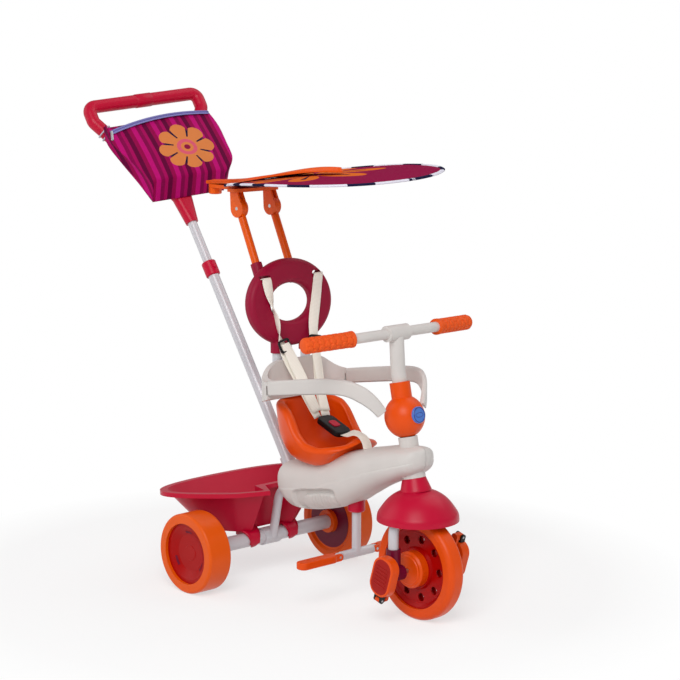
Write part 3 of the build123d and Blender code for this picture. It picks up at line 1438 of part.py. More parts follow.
loop_top_y = handle_half_width - handle_tube_radius
neck_join = handle_neck_half_width - handle_tube_radius
with BuildPart() as push_handle:
    with BuildLine(handle_plane) as loop:
        FilletPolyline((neck_join, -handle_neck_top), (loop_top_y, -handle_side_drop), (loop_top_y, 0),
                       (-loop_top_y, 0), (-loop_top_y, -handle_side_drop), (-neck_join, -handle_neck_top),
                       radius=handle_tube_radius * 1.15)
    with BuildSketch(Plane(origin=loop.line @ 0, z_dir=loop.line % 0)):
        Circle(handle_tube_radius)
    sweep(path=loop.line)
    with BuildSketch(Plane(origin=handle_center - pole_axis * (handle_neck_top - 20), x_dir=handle_across,
                           z_dir=pole_axis * -1)):
        RectangleRounded(2 * handle_neck_half_width + 4, 2 * handle_tube_radius - 2, handle_tube_radius - 2)
    with BuildSketch(Plane(origin=handle_center - pole_axis * handle_neck_bottom, x_dir=handle_across,
                           z_dir=pole_axis * -1)):
        RectangleRounded(2 * handle_socket_radius, 2 * handle_socket_radius - 0.2, handle_socket_radius - 0.3)
    loft()
    add(rod(pole_low, handle_center - pole_axis * (handle_neck_top + 10), upper_pole_radius),
        mode=Mode.SUBTRACT)
finish(push_handle.part, "push_handle")

bag_back = handle_tube_radius + bag_gap
with BuildPart() as bag:
    with BuildSketch(handle_plane.offset(bag_back)):
        with BuildLine():
            Polyline((-bag_top_half_width, -bag_top_drop), (bag_top_half_width, -bag_top_drop),
                     (bag_mid_half_width, -bag_top_drop - 45), (bag_sag_half_width, -bag_sag_drop),
                     (bag_bottom_half_width + 16, -bag_bottom_drop + 6),
                     (-bag_bottom_half_width, -bag_bottom_drop),
                     (-bag_mid_half_width, -bag_top_drop - 45), close=True)
        bag_face = make_face()
        fillet(bag_face.vertices(), 12.0)
    extrude(amount=bag_bottom_depth)
    bag_side = Plane(origin=handle_center, x_dir=handle_normal, z_dir=handle_across * -1)
    with BuildSketch(bag_side):
        with BuildLine():
            Polyline((bag_back, -bag_top_drop), (bag_back + bag_top_depth, -bag_top_drop),
                     (bag_back + bag_bottom_depth, -bag_bottom_drop + 30),
                     (bag_back + bag_bottom_depth - 14, -bag_bottom_drop),
                     (bag_back, -bag_bottom_drop), close=True)
        make_face()
    extrude(amount=2 * bag_mid_half_width, both=True, mode=Mode.INTERSECT)
finish(bag.part, "bag")

# ---------------------------------------------------------------- rear bucket
rim_slope = math.tan(math.radians(bucket_rim_rise))
rim_plane = Plane(origin=(0, 0, bucket_rim_z), x_dir=(1, 0, rim_slope), z_dir=(-rim_slope, 0, 1))
# the rim's outline and the floor's: rear, side, front and the notch for the frame
rim_rear, rim_side, rim_waist, rim_tip = (-178, 0), (-86, 203), (24, 138), (70, 70)
floor_rear, floor_side, floor_waist, floor_tip = (-112, 0), (-66, 122), (-16, 96), (10, 60)
notch_depth = 62.0


def bucket_outline(rear, side_point, waist, tip, notch, grow):
    """Round outline from rear to tips, mirrored, with a notch between the tips for the frame."""
    with BuildSketch() as outline:
        with BuildLine():
            notch_point = (tip[0] - notch + grow, tip[1] * 0.6 - grow)
            for hand in (-1, 1):
                bend = Spline((rear[0] - grow, 0), (side_point[0], hand * (side_point[1] + grow)),
                              (waist[0] + grow * 0.6, hand * (waist[1] + grow * 0.8)),
                              (tip[0] + grow, hand * (tip[1] - grow * 0.2)),
                              tangents=((0, hand), (0.5, -hand)))
                Line(bend @ 1, (notch_point[0], hand * notch_point[1]))
            Line((notch_point[0], -notch_point[1]), notch_point)
        make_face()
    return outline.sketch


def rim_outline(grow):
    return bucket_outline(rim_rear, rim_side, rim_waist, rim_tip, notch_depth, grow)


def bucket_form(grow, rise):
    """Tapered form between the floor's and the rim's outlines."""
    with BuildPart() as form:
        with BuildSketch(Plane.XY.offset(bucket_floor_z + rise)):
            add(bucket_outline(floor_rear, floor_side, floor_waist, floor_tip, notch_depth * 0.3, grow))
        with BuildSketch(rim_plane):
            add(rim_outline(grow))
        loft(ruled=True)
    return form.part


with BuildPart() as bucket:
    add(bucket_form(0, 0))
    with BuildSketch(rim_plane.offset(-bucket_wall)):
        add(rim_outline(bucket_lip))
    extrude(amount=bucket_wall)
    with BuildSketch(rim_plane):
        add(rim_outline(bucket_lip))
        add(rim_outline(bucket_lip - bucket_wall), mode=Mode.SUBTRACT)
    extrude(amount=-bucket_lip_drop)
    add(bucket_form(-bucket_wall, bucket_wall), mode=Mode.SUBTRACT)
    for side in (-1, 1):
        clip_center = Vector(0, side * bucket_clip_y, rear_wheel_radius)
        clip_inner = axle_tube_radius + clearance
        with BuildSketch(Plane(origin=clip_center, x_dir=(1, 0, 0), z_dir=(0, -1, 0))):
            Circle(clip_inner + bucket_clip_wall)
            with Locations((-clip_inner, clip_inner)):
                Rectangle(2 * clip_inner, 2 * (bucket_floor_z - rear_wheel_radius - clip_inner) + 8)
            Circle(clip_inner, mode=Mode.SUBTRACT)
            with Locations((0, -clip_inner)):
                Rectangle(4 * clip_inner, clip_inner, mode=Mode.SUBTRACT)
        extrude(amount=bucket_clip_width / 2, both=True)
finish(bucket.part, "bucket")

# ---------------------------------------------------------------- harness
pitch = math.radians(buckle_pitch)
buckle_along = Vector(math.cos(pitch), 0, -math.sin(pitch))
buckle_normal = Vector(math.sin(pitch), 0, math.cos(pitch))
buckle_center = Vector(buckle_x, 0, buckle_z)
buckle_plane = Plane(origin=buckle_center, x_dir=buckle_along, z_dir=buckle_normal)
with BuildPart() as harness_buckle:
    with BuildSketch(buckle_plane.offset(-buckle_thickness / 2)):
        RectangleRounded(buckle_length, buckle_width, buckle_width * 0.3)
    extrude(amount=buckle_thickness)
    fillet(harness_buckle.edges().filter_by(lambda e: e.length > 20), 2.5)
    with BuildSketch(buckle_plane.offset(buckle_thickness / 2 - 4)):
        RectangleRounded(24 + clearance, 20 + clearance, 5)
    extrude(amount=6, mode=Mode.SUBTRACT)
finish(harness_buckle.part, "harness_buckle")

release_travel = 1.5
with BuildPart() as buckle_button:
    with BuildSketch(buckle_plane.offset(buckle_thickness / 2 - 4 + release_travel + 0.2)):
        RectangleRounded(24 - clearance, 20 - clearance, 5)
    extrude(amount=4)
finish(buckle_button.part, "buckle_button")


def strap_frame(side):
    """Middle line of a shoulder strap: its start, its direction and its width's direction."""
    start = Vector(strap_top_x, side * back_slot_y, back_center_z + back_slot_z)
    end = buckle_center - buckle_along * (buckle_length / 2 + clearance)
    end = end + Vector(0, side * webbing_width / 2, 0)
    along = (end - start).normalized()
    across = (Vector(0, 1, 0) - along * along.Y).normalized()
    return start, along, across, (end - start).length


with BuildPart() as shoulder_straps:
    for side in (-1, 1):
        start, along, across, reach = strap_frame(side)
        strap_plane = Plane(origin=start, x_dir=along, z_dir=across * -1)
        with BuildSketch(strap_plane):
            with BuildLine():
                outer = ThreePointArc((0, 0), (reach / 2, strap_bow), (reach, 0))
                inner = ThreePointArc((0, -webbing_thickness), (reach / 2, strap_bow - webbing_thickness),
                                      (reach, -webbing_thickness))
                Line(outer @ 0, inner @ 0)
                Line(outer @ 1, inner @ 1)
            make_face()
        extrude(amount=webbing_width / 2, both=True)

crotch_start = buckle_center + buckle_along * (buckle_length / 2 + clearance)
crotch_crown = crotch_start + buckle_normal * webbing_thickness
crotch_top_z = seat_pommel_z + webbing_thickness + 2.5
with BuildPart() as crotch_strap:
    with BuildSketch(Plane(origin=(0, 0, 0), x_dir=(1, 0, 0), z_dir=(0, -1, 0))):
        with BuildLine():
            upper = Spline((crotch_crown.X, crotch_crown.Z), (284, crotch_top_z),
                           (312, crotch_top_z - 1), (seat_front_x + 3, seat_pommel_z - 14),
                           tangents=((0.8, -0.2), (0.15, -1)))
            lower = Spline((crotch_start.X, crotch_start.Z), (284, crotch_top_z - webbing_thickness),
                           (311, crotch_top_z - 1 - webbing_thickness),
                           (seat_front_x + 3 - webbing_thickness, seat_pommel_z - 14),
                           tangents=((0.8, -0.2), (0.15, -1)))
            Line(upper @ 0, lower @ 0)
            Line(upper @ 1, lower @ 1)
        make_face()
    extrude(amount=webbing_width / 2, both=True)
with BuildPart() as harness_straps:
    add(shoulder_straps.part)
    add(crotch_strap.part)
finish(harness_straps.part, "harness_straps")

with BuildPart() as strap_sliders:
    for side in (-1, 1):
        start, along, across, reach = strap_frame(side)
        way = Plane(origin=start, x_dir=along, z_dir=across * -1)
        middle = way.from_local_coords((reach * slider_along, strap_bow - webbing_thickness / 2))
        with BuildSketch(Plane(origin=middle, x_dir=along, z_dir=along.cross(across))):
            RectangleRounded(slider_length, slider_width, 4.0)
            Rectangle(slider_length - 9, slider_width - 8, mode=Mode.SUBTRACT)
        extrude(amount=slider_thickness / 2, both=True)
        with BuildSketch(Plane(origin=middle, x_dir=across, z_dir=along)):
            Rectangle(webbing_width + 2 * clearance, webbing_thickness + 3 * clearance)
        extrude(amount=slider_length, both=True, mode=Mode.SUBTRACT)
finish(strap_sliders.part, "strap_sliders")

export_box = Compound(children=[Compound(piece.solids()) for piece in pieces]).bounding_box()
shift = Location((-(export_box.min.X + export_box.max.X) / 2, -(export_box.min.Y + export_box.max.Y) / 2,
                  -export_box.min.Z))
print("shift", shift.position)
os.makedirs("parts", exist_ok=True)
for piece in pieces:
    name = piece.label
    placed = piece.moved(shift)
    placed.label = name
    export_step(placed, "parts/" + name + ".step")
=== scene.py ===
import json
import math

import bpy
from mathutils import Matrix, Vector, noise
from mathutils.bvhtree import BVHTree


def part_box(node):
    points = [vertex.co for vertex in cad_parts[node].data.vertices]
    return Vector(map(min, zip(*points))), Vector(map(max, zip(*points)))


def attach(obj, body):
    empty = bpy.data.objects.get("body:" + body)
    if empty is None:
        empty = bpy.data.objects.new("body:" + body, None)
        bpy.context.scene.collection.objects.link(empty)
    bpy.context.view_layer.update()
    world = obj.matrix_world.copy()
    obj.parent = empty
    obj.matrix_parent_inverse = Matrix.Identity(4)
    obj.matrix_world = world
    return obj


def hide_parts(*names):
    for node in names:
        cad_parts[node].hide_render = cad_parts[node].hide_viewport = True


bl_info = {
    "name": "Children's tricycle",
    "version": (1, 0, 0),
    "blender": (4, 5, 0),
    "location": "View3D > Sidebar > Tricycle",
    "description": "Dresses a packed children's tricycle in moulded plastic, painted tube, webbing and cloth",
    "category": "Object",
}

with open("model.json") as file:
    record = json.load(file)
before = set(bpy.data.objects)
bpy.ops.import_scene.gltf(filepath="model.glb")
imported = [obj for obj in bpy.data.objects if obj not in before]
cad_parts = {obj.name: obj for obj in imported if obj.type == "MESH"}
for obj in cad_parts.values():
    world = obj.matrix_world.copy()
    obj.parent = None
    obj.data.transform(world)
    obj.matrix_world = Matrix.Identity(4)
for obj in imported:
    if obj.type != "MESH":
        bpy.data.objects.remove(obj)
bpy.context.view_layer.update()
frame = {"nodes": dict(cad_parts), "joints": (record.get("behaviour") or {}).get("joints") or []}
nodes = frame["nodes"]
joints = {joint["name"]: joint for joint in frame["joints"]}

MM = 0.001
FULL_TURN = 2 * math.pi
WAVE_BAND = math.pi / 10  # width of one band of a wave texture whose scale is 1
DOWN = Vector((0, 0, -1))
SIDES = ((-1, "right"), (1, "left"))


# ------------------------------------------------------------------ small helpers
def linear(code):
    """Linear colour of an sRGB hex code, with full alpha."""
    parts = [int(code[at:at + 2], 16) / 255 for at in (1, 3, 5)]
    return tuple(p / 12.92 if p <= 0.04045 else ((p + 0.055) / 1.055) ** 2.4 for p in parts) + (1.0,)


def add(tree, kind, inputs=None, **settings):
    """Add a node with its settings. Each input takes a value, a node or one of a node's outputs."""
    made = tree.nodes.new(kind)
    for name, value in settings.items():
        setattr(made, name, value)
    for socket, value in (inputs or {}).items():
        if isinstance(value, bpy.types.Node):
            value = next(output for output in value.outputs if output.enabled)
        if isinstance(value, bpy.types.NodeSocket):
            tree.links.new(value, made.inputs[socket])
        else:
            made.inputs[socket].default_value = value
    return made


def blank_material(name):
    """A material with an empty tree, and the tree."""
    material = bpy.data.materials.new(name)
    material.use_nodes = True
    material.node_tree.nodes.clear()
    return material, material.node_tree


def shade(tree, **inputs):
    """The surface shader and the output, with sockets named by their labels."""
    named = {name.replace("_", " "): value for name, value in inputs.items()}
    add(tree, "ShaderNodeOutputMaterial", {"Surface": add(tree, "ShaderNodeBsdfPrincipled", named)})


def mottled(tree, place, code, amount, size_mm):
    """A colour that drifts slightly darker over patches of a size."""
    base = linear(code)
    dark = tuple(part * (1 - amount) for part in base[:3]) + (1.0,)
    drift = add(tree, "ShaderNodeTexNoise", {"Vector": place, "Scale": 1 / (size_mm * MM), "Detail": 3.0})
    return add(tree, "ShaderNodeMix", {"Factor": drift, 6: base, 7: dark}, data_type="RGBA")


def moulded(name, code, roughness, grain_mm=2.4, depth_mm=0.006, coat=0.0, shine=0.28):
    """Moulded plastic: even colour, a soft gloss that follows the flow, and the mould's fine grain.

    The grain of a real mould is about 0.1 mm. It is drawn far coarser, so that it shows.
    """
    material, tree = blank_material(name)
    place = add(tree, "ShaderNodeTexCoord").outputs["Object"]
    flow = add(tree, "ShaderNodeTexNoise", {"Vector": place, "Scale": 1 / (18 * MM), "Detail": 2.0})
    gloss = add(tree, "ShaderNodeMapRange", {"Value": flow, "To Min": roughness * 0.85,
                                             "To Max": roughness * 1.2})
    grain = add(tree, "ShaderNodeTexNoise", {"Vector": place, "Scale": 1 / (grain_mm * MM), "Detail": 4.0})
    relief = add(tree, "ShaderNodeBump", {"Height": grain, "Strength": 0.5, "Distance": depth_mm * MM})
    shade(tree, Base_Color=mottled(tree, place, code, 0.08, 45.0), Roughness=gloss, Normal=relief, IOR=1.49,
          Specular_IOR_Level=shine, Coat_Weight=coat, Coat_Roughness=0.12)
    return material


def painted(name, code, roughness, metal):
    """Powder-coated steel tube: a smooth film with the faint orange peel of baked powder."""
    material, tree = blank_material(name)
    place = add(tree, "ShaderNodeTexCoord").outputs["Object"]
    peel = add(tree, "ShaderNodeTexNoise", {"Vector": place, "Scale": 1 / (2.2 * MM), "Detail": 2.0})
    relief = add(tree, "ShaderNodeBump", {"Height": peel, "Strength": 0.3, "Distance": 0.01 * MM})
    shade(tree, Base_Color=mottled(tree, place, code, 0.06, 60.0), Roughness=roughness, Metallic=metal,
          Normal=relief, IOR=1.5, Coat_Weight=0.25, Coat_Roughness=0.15)
    return material


def bare_metal(name, code, roughness):
    """Zinc-plated or drawn steel: metallic, with fine drawing marks along its length."""
    material, tree = blank_material(name)
    place = add(tree, "ShaderNodeTexCoord").outputs["Object"]
    stretched = add(tree, "ShaderNodeMapping", {"Vector": place, "Scale": (1.0, 0.06, 1.0)})
    marks = add(tree, "ShaderNodeTexNoise", {"Vector": stretched, "Scale": 1 / (0.6 * MM), "Detail": 3.0})
    gloss = add(tree, "ShaderNodeMapRange", {"Value": marks, "To Min": roughness * 0.7,
                                             "To Max": roughness * 1.3})
    shade(tree, Base_Color=mottled(tree, place, code, 0.12, 6.0), Metallic=1.0, Roughness=gloss)
    return material


def weave_height(tree, place, pitch_mm):
    """Height of a plain weave from two crossed waves.

    Real threads are about 0.4 mm apart. They are drawn two or three times as coarse, so that they show.
    """
    over, under = [add(tree, "ShaderNodeTexWave", {"Vector": place, "Scale": WAVE_BAND / (pitch_mm * MM),
                                                   "Distortion": 0.4, "Detail": 1.0},
                       bands_direction=direction).outputs["Fac"] for direction in "XY"]
    return add(tree, "ShaderNodeMath", {0: over, 1: under}, operation="MULTIPLY")


def cloth_surface(tree, colour, height, depth_mm, roughness=0.85):
    """Woven cloth's shader: rough and almost without gloss."""
    relief = add(tree, "ShaderNodeBump", {"Height": height, "Strength": 0.6, "Distance": depth_mm * MM})
    shade(tree, Base_Color=colour, Roughness=roughness, Normal=relief, IOR=1.45, Specular_IOR_Level=0.08)


def webbing(name, code):
    """Flat polypropylene webbing: soft ribs straight across the strap, with painted shade darkening the
    grooves between them.

    Real ribs are about 1.5 mm apart. They are drawn twice as coarse, so that they show.
    """
    material, tree = blank_material(name)
    strip = add(tree, "ShaderNodeUVMap", uv_map="cloth")
    ribs, edge = [add(tree, "ShaderNodeTexWave", {"Vector": strip, "Scale": WAVE_BAND / (pitch_mm * MM),
                                                  "Distortion": wobble},
                      bands_direction=direction).outputs["Fac"]
                  for pitch_mm, wobble, direction in ((2.95938, 0.3, "Y"), (5.91876, 0.2, "X"))]
    # painted shade: a duller cream fills the grooves between the ribs, where the bump sinks
    colour = add(tree, "ShaderNodeMix", {"Factor": ribs, 6: linear("#F3EEE0"), 7: linear(code)},
                 data_type="RGBA")
    height = add(tree, "ShaderNodeMath", {0: ribs, 1: edge}, operation="ADD")
    cloth_surface(tree, colour, height, 0.16)
    return material


def new_object(name, verts, faces, uvs=None):
    """A smooth-shaded mesh object. uvs gives each vertex its place on the cloth, in metres."""
    mesh = bpy.data.meshes.new(name)
    mesh.from_pydata([tuple(v) for v in verts], [], faces)
    mesh.validate()
    mesh.update()
    for face in mesh.polygons:
        face.use_smooth = True
    if uvs is not None:
        layer = mesh.uv_layers.new(name="cloth")
        for loop in mesh.loops:
            layer.data[loop.index].uv = uvs[loop.vertex_index]
    made = bpy.data.objects.new(name, mesh)
    bpy.context.scene.collection.objects.link(made)
    return made


def strip_faces(rows, columns, round_rows=False, round_columns=False):
    """Quads of a grid of rows by columns, joined round where asked."""
    faces = []
    for row in range(rows if round_rows else rows - 1):
        for column in range(columns if round_columns else columns - 1):
            below = (row + 1) % rows
            beside = (column + 1) % columns
            faces.append((row * columns + column, row * columns + beside,
                          below * columns + beside, below * columns + column))
    return faces


def grid_object(name, rows, round_rows=False, round_columns=False, uvs=None, close_ends=False):
    """A mesh through rows of points."""
    columns = len(rows[0])
    verts = [point for row in rows for point in row]
    faces = strip_faces(len(rows), columns, round_rows, round_columns)
    if close_ends:
        faces.append(tuple(reversed(range(columns))))
        faces.append(tuple(range((len(rows) - 1) * columns, len(rows) * columns)))
    return new_object(name, verts, faces, uvs)


def dress(piece, body, material, stands_for=(), levels=0):
    """Give a new piece its finish, its body and what it stands for."""
    piece.data.materials.clear()
    piece.data.materials.append(material)
    if levels:
        smooth = piece.modifiers.new("smooth", "SUBSURF")
        smooth.levels = levels
        smooth.render_levels = levels
    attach(piece, body)
    if stands_for:
        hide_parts(*stands_for)
    return piece


def smooth_path(points, steps):
    """Points along a smooth curve through the given ones, with any extra values carried along."""
    out = []
    last = len(points) - 1
    for at in range(last):
        before, after = points[max(at - 1, 0)], points[min(at + 2, last)]
        for step in range(steps):
            t = step / steps
            out.append([0.5 * (2 * b + (c - a) * t + (2 * a - 5 * b + 4 * c - d) * t * t
                               + (3 * b - a - 3 * c + d) * t ** 3)
                        for a, b, c, d in zip(before, points[at], points[at + 1], after)])
    out.append(list(points[-1]))
    return out


def tube(name, centres, radius, sides=12, closed=False):
    """A round tube along a line of points."""
    count = len(centres)
    rows = []
    normal = None
    for at, centre in enumerate(centres):
        ahead = centres[(at + 1) % count] if closed or at < count - 1 else centre
        behind = centres[at - 1] if closed or at > 0 else centre
        along = (Vector(ahead) - Vector(behind)).normalized()
        if normal is None:
            normal = along.orthogonal().normalized()
        normal = (normal - along * normal.dot(along)).normalized()
        side = along.cross(normal)
        rows.append([Vector(centre) + (normal * math.cos(a) + side * math.sin(a)) * radius
                     for a in [FULL_TURN * k / sides for k in range(sides)]])
    return grid_object(name, rows, closed, True, None, not closed)


def ring_points(centre, first, second, radius, steps):
    """Points round a circle, or round an oval where the two directions differ in length."""
    return [centre + (first * math.cos(angle) + second * math.sin(angle)) * radius
            for angle in [FULL_TURN * step / steps for step in range(steps)]]


def ribbon(name, stations, width, thickness):
    """A flat strap through stations of a point and the direction of its width."""
    rows, uvs, run = [], [], 0.0
    half = width / 2
    # half of the section, as shares of half the width and of the thickness: its edges are thinner
    under = [(-1.0, -0.25), (-0.94, -0.5), (0.0, -0.5), (0.94, -0.5), (1.0, -0.25)]
    profile = [(half * x, y) for x, y in under + [(-x, -y) for x, y in under]]
    for at, (point, across) in enumerate(stations):
        ahead = stations[min(at + 1, len(stations) - 1)][0]
        behind = stations[max(at - 1, 0)][0]
        along = (ahead - behind).normalized()
        side = (across - along * across.dot(along)).normalized()
        up = along.cross(side)
        if at:
            run += (point - stations[at - 1][0]).length
        rows.append([point + side * x + up * (y * thickness) for x, y in profile])
        uvs.extend([(x, run) for x, _ in profile])
    return grid_object(name, rows, False, True, uvs, True)


def turned_dish(name, centre, axis, profile, turns=64):
    """A round dish from a profile of radius and height, about an axis."""
    axis = axis.normalized()
    first = axis.orthogonal().normalized()
    second = axis.cross(first)
    rows = [ring_points(centre + axis * height, first, second, radius, turns) for radius, height in profile]
    return grid_object(name, rows, False, True)


def between(table, value, column):
    """Value of a column of the table at a place along its first column."""
    value = min(max(value, table[0][0]), table[-1][0])
    for lower, upper in zip(table, table[1:]):
        if value <= upper[0]:
            share = (value - lower[0]) / (upper[0] - lower[0])
            return lower[column] + (upper[column] - lower[column]) * share
    return table[-1][column]


def smooth_step(low, high, value):
    """A share that eases from 0 at the low value to 1 at the high one."""
    share = min(max((value - low) / (high - low), 0.0), 1.0)
    return share * share * (3 - 2 * share)


def facing_tree(name):
    """Search tree over a construction piece's surface."""
    mesh = nodes[name].data
    return BVHTree.FromPolygons([v.co.copy() for v in mesh.vertices],
                                [list(p.vertices) for p in mesh.polygons])


def middle_of(name):
    """Middle of a construction piece's box, taken to the part's own middle across."""
    low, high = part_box(name)
    return Vector(((low.x + high.x) / 2, 0, (low.z + high.z) / 2))


# ------------------------------------------------------------------ settings
def length_setting(name, description, default):
    return bpy.props.FloatProperty(name=name, description=description, default=default, min=0.0,
                                   unit="LENGTH")


def finish_setting(name, description, default):
    return bpy.props.StringProperty(name=name, description=description + ", in sRGB hex", default=default)


class TrikeStage(bpy.types.PropertyGroup):
    """The floor, the light and the camera."""

    floor: bpy.props.FloatVectorProperty(name="Floor", description="Colour of the floor and of the backdrop",
                                         subtype="COLOR", size=4, min=0.0, max=1.0,
                                         default=linear("#F6F6F6"))
    sky_strength: bpy.props.FloatProperty(name="Room light", description="Strength of the even room light",
                                          default=0.42, min=0.0)
    key_power: bpy.props.FloatProperty(name="Key lamp", description="Power of the large lamp at the front",
                                       default=88.0, min=0.0, unit="POWER")
    fill_power: bpy.props.FloatProperty(name="Fill lamp", description="Power of the lamp at the other side",
                                        default=20.0, min=0.0, unit="POWER")
    camera_place: bpy.props.FloatVectorProperty(name="Camera", description="Where the camera stands",
                                                default=(3.3212, -2.9506, 1.2665), unit="LENGTH")
    camera_aim: bpy.props.FloatVectorProperty(name="Aim", description="Direction in which the camera looks",
                                              default=(-0.7195, 0.676, -0.159))
    lens: bpy.props.FloatProperty(name="Lens", description="Focal length in millimetres", default=105.97)


class TrikeCloth(bpy.types.PropertyGroup):
    """Sizes of the canopy and the harness."""

    canopy_length: length_setting("Canopy length", "Length of the canopy's oval", 0.599)
    canopy_width: length_setting("Canopy width", "Width of the canopy's oval", 0.361)
    canopy_narrowing: bpy.props.FloatProperty(name="Canopy taper", default=0.49,
                                              description="How much broader the oval is towards the front")
    canopy_pitch: bpy.props.FloatProperty(name="Canopy pitch", description="Slope up towards the front",
                                          default=math.radians(4.6), unit="ROTATION")
    canopy_roll: bpy.props.FloatProperty(name="Canopy roll", description="Slope up towards the left",
                                         default=math.radians(3.6), unit="ROTATION")
    canopy_bow: length_setting("Canopy bow", "Rise of the canopy's middle above its ends", 0.0153)
    binding_width: length_setting("Binding", "Width of the chequered binding", 0.011)
    webbing_width: length_setting("Webbing", "Width of the harness webbing", 0.025)
    webbing_thickness: length_setting("Webbing thickness", "Thickness of the harness webbing", 0.0018)


class TrikeFinish(bpy.types.PropertyGroup):
    """Colours of the mouldings."""

    orange: finish_setting("Orange", "Seat, wheels and steering cover", "#EC5000")
    crimson: finish_setting("Crimson", "Bucket, fender and handle", "#C40032")
    grey: finish_setting("Warm grey", "Body and safety arms", "#D9D4D0")


made_materials = {}


def finish_of(name):
    """The finish of that name, made when it is first asked for."""
    if name not in made_materials:
        colours = bpy.context.scene.trike_finish
        recipes = {
            # injection-moulded polypropylene: an even colour with a soft, slightly waxy gloss
            "orange": lambda: moulded("moulded_pp_orange", colours.orange, 0.36),
            # the same plastic in a shade that is yellower, on the canopy's frame and the rear wheels
            "tangerine": lambda: moulded("moulded_pp_tangerine", "#EE5C00", 0.36),
            "plum": lambda: moulded("moulded_pp_plum", "#70002C", 0.4),
            # deep and almost without highlights, as a dark pigment looks in polypropylene
            "hub": lambda: moulded("moulded_pp_deep_red", "#AE0000", 0.34, shine=0.2),
            # injection-moulded ABS: harder and a little glossier
            "crimson": lambda: moulded("moulded_abs_crimson", colours.crimson, 0.34),
            "grey": lambda: moulded("moulded_abs_warm_grey", colours.grey, 0.40),
            # blow-moulded polyethylene: matt, with a coarser skin
            "wine": lambda: moulded("blow_moulded_pe_wine", "#980032", 0.5, 2.6, 0.012),
            # moulded nylon: black with a dull sheen
            "black": lambda: moulded("moulded_nylon_black", "#101012", 0.42),
            # soft rubber: dull, so that highlights spread wide
            "grip": lambda: moulded("soft_tpe_orange", "#F05A16", 0.6, 2.0, 0.01),
            "tread": lambda: moulded("moulded_rubber_red", "#A81208", 0.6, 2.0, 0.01),
            # baked powder over steel: pale, smooth, with a hint of metal
            "tube": lambda: painted("powder_coated_steel_silver", "#D0CFD4", 0.36, 0.08),
            # zinc plating: bright, with drawn streaks
            "steel": lambda: bare_metal("zinc_plated_steel", "#B9BBBE", 0.35),
            # tightly woven tape: matt and ribbed
            "webbing": lambda: webbing("polypropylene_webbing_cream", "#FFFCF2"),
            # woven tapes too narrow for threads to show: a deep, fine grain stands for the weave
            "zip": lambda: moulded("woven_zip_tape_lavender", "#8480BE", 0.7, 0.8, 0.08),
            "loop": lambda: moulded("woven_loop_silver", "#BDBBC9", 0.5, 0.7, 0.05),
            "zip_dark": lambda: moulded("moulded_zip_coil_lilac", "#6A66A8", 0.45),
            # printed ABS under clear lacquer: the glossiest piece
            "badge": lambda: moulded("printed_abs_badge_blue", "#4C7CD0", 0.25, coat=0.5),
            "badge_rim": lambda: moulded("printed_abs_rim_navy", "#2C3E92", 0.3, coat=0.5),
        }
        made_materials[name] = recipes[name]()
    return made_materials[name]


CAD_FINISH = {
    "orange": ["front_tyre", "clutch_bosses", "cranks", "steering_housing", "foot_peg_l", "foot_peg_r",
               "pedal_l", "pedal_r", "seat_shell"],
    "tangerine": ["rear_wheel_r", "rear_wheel_l", "canopy_posts", "canopy_rail", "canopy_arm",
                  "canopy_knob"],
    "crimson": ["fender", "push_handle", "pole_collar", "pole_button", "bucket", "footrest_collar",
                "buckle_button"],
    "wine": ["seat_back"],
    "grey": ["body_cover_l", "body_cover_r", "stem", "handlebar", "head_tube", "seat_surround",
             "safety_arm_l", "safety_arm_r"],
    "hub": ["rear_hub_r", "rear_hub_l", "front_hub_halves"],
    "plum": ["fork_ends"],
    "badge": ["steering_badge"],
    "black": ["frame_bushes", "pedal_fork_l", "pedal_fork_r", "harness_buckle"],
    "grip": ["grips"],
    "tread": ["pedal_tread_l", "pedal_tread_r"],
    "tube": ["rear_axle_tube", "fork_tube", "main_frame", "footrest_stem", "back_posts", "push_pole_lower",
             "push_pole_upper"],
    "steel": ["rear_axle_rod", "axle_nuts", "crank_spindle", "pedal_hinge_pins", "cover_screws",
              "hinge_pins"],
    "webbing": ["harness_straps"],
}


class TRIKE_OT_mouldings(bpy.types.Operator):
    """Give every construction piece that shows as it is its own finish"""

    bl_idname = "trike.mouldings"
    bl_label = "Mouldings and tubes"

    def execute(self, context):
        for finish, names in CAD_FINISH.items():
            for name in names:
                if name not in nodes:
                    raise RuntimeError("no construction piece named " + name)
                piece = nodes[name]
                piece.data.materials.clear()
                piece.data.materials.append(finish_of(finish))
        return {"FINISHED"}


# ------------------------------------------------------------------ canopy
def petal_share(tree, from_middle, waves):
    """How near a direction from a flower's middle is to the middle of a petal, from 0 to 1."""
    parts = add(tree, "ShaderNodeSeparateXYZ", {0: from_middle})
    angle = add(tree, "ShaderNodeMath", {0: parts.outputs[1], 1: parts.outputs[0]}, operation="ARCTAN2")
    turned = add(tree, "ShaderNodeMath", {0: angle, 1: waves}, operation="MULTIPLY")
    wave = add(tree, "ShaderNodeMath", {0: turned}, operation="COSINE")
    return add(tree, "ShaderNodeMath", {0: wave}, operation="ABSOLUTE")


def printed(tree, ground, layers):
    """A ground colour with one colour after another laid over it, each where its mask is 1."""
    colour = ground
    for mask, code in layers:
        colour = add(tree, "ShaderNodeMix", {"Factor": mask, 6: colour, 7: linear(code)}, data_type="RGBA")
    return colour


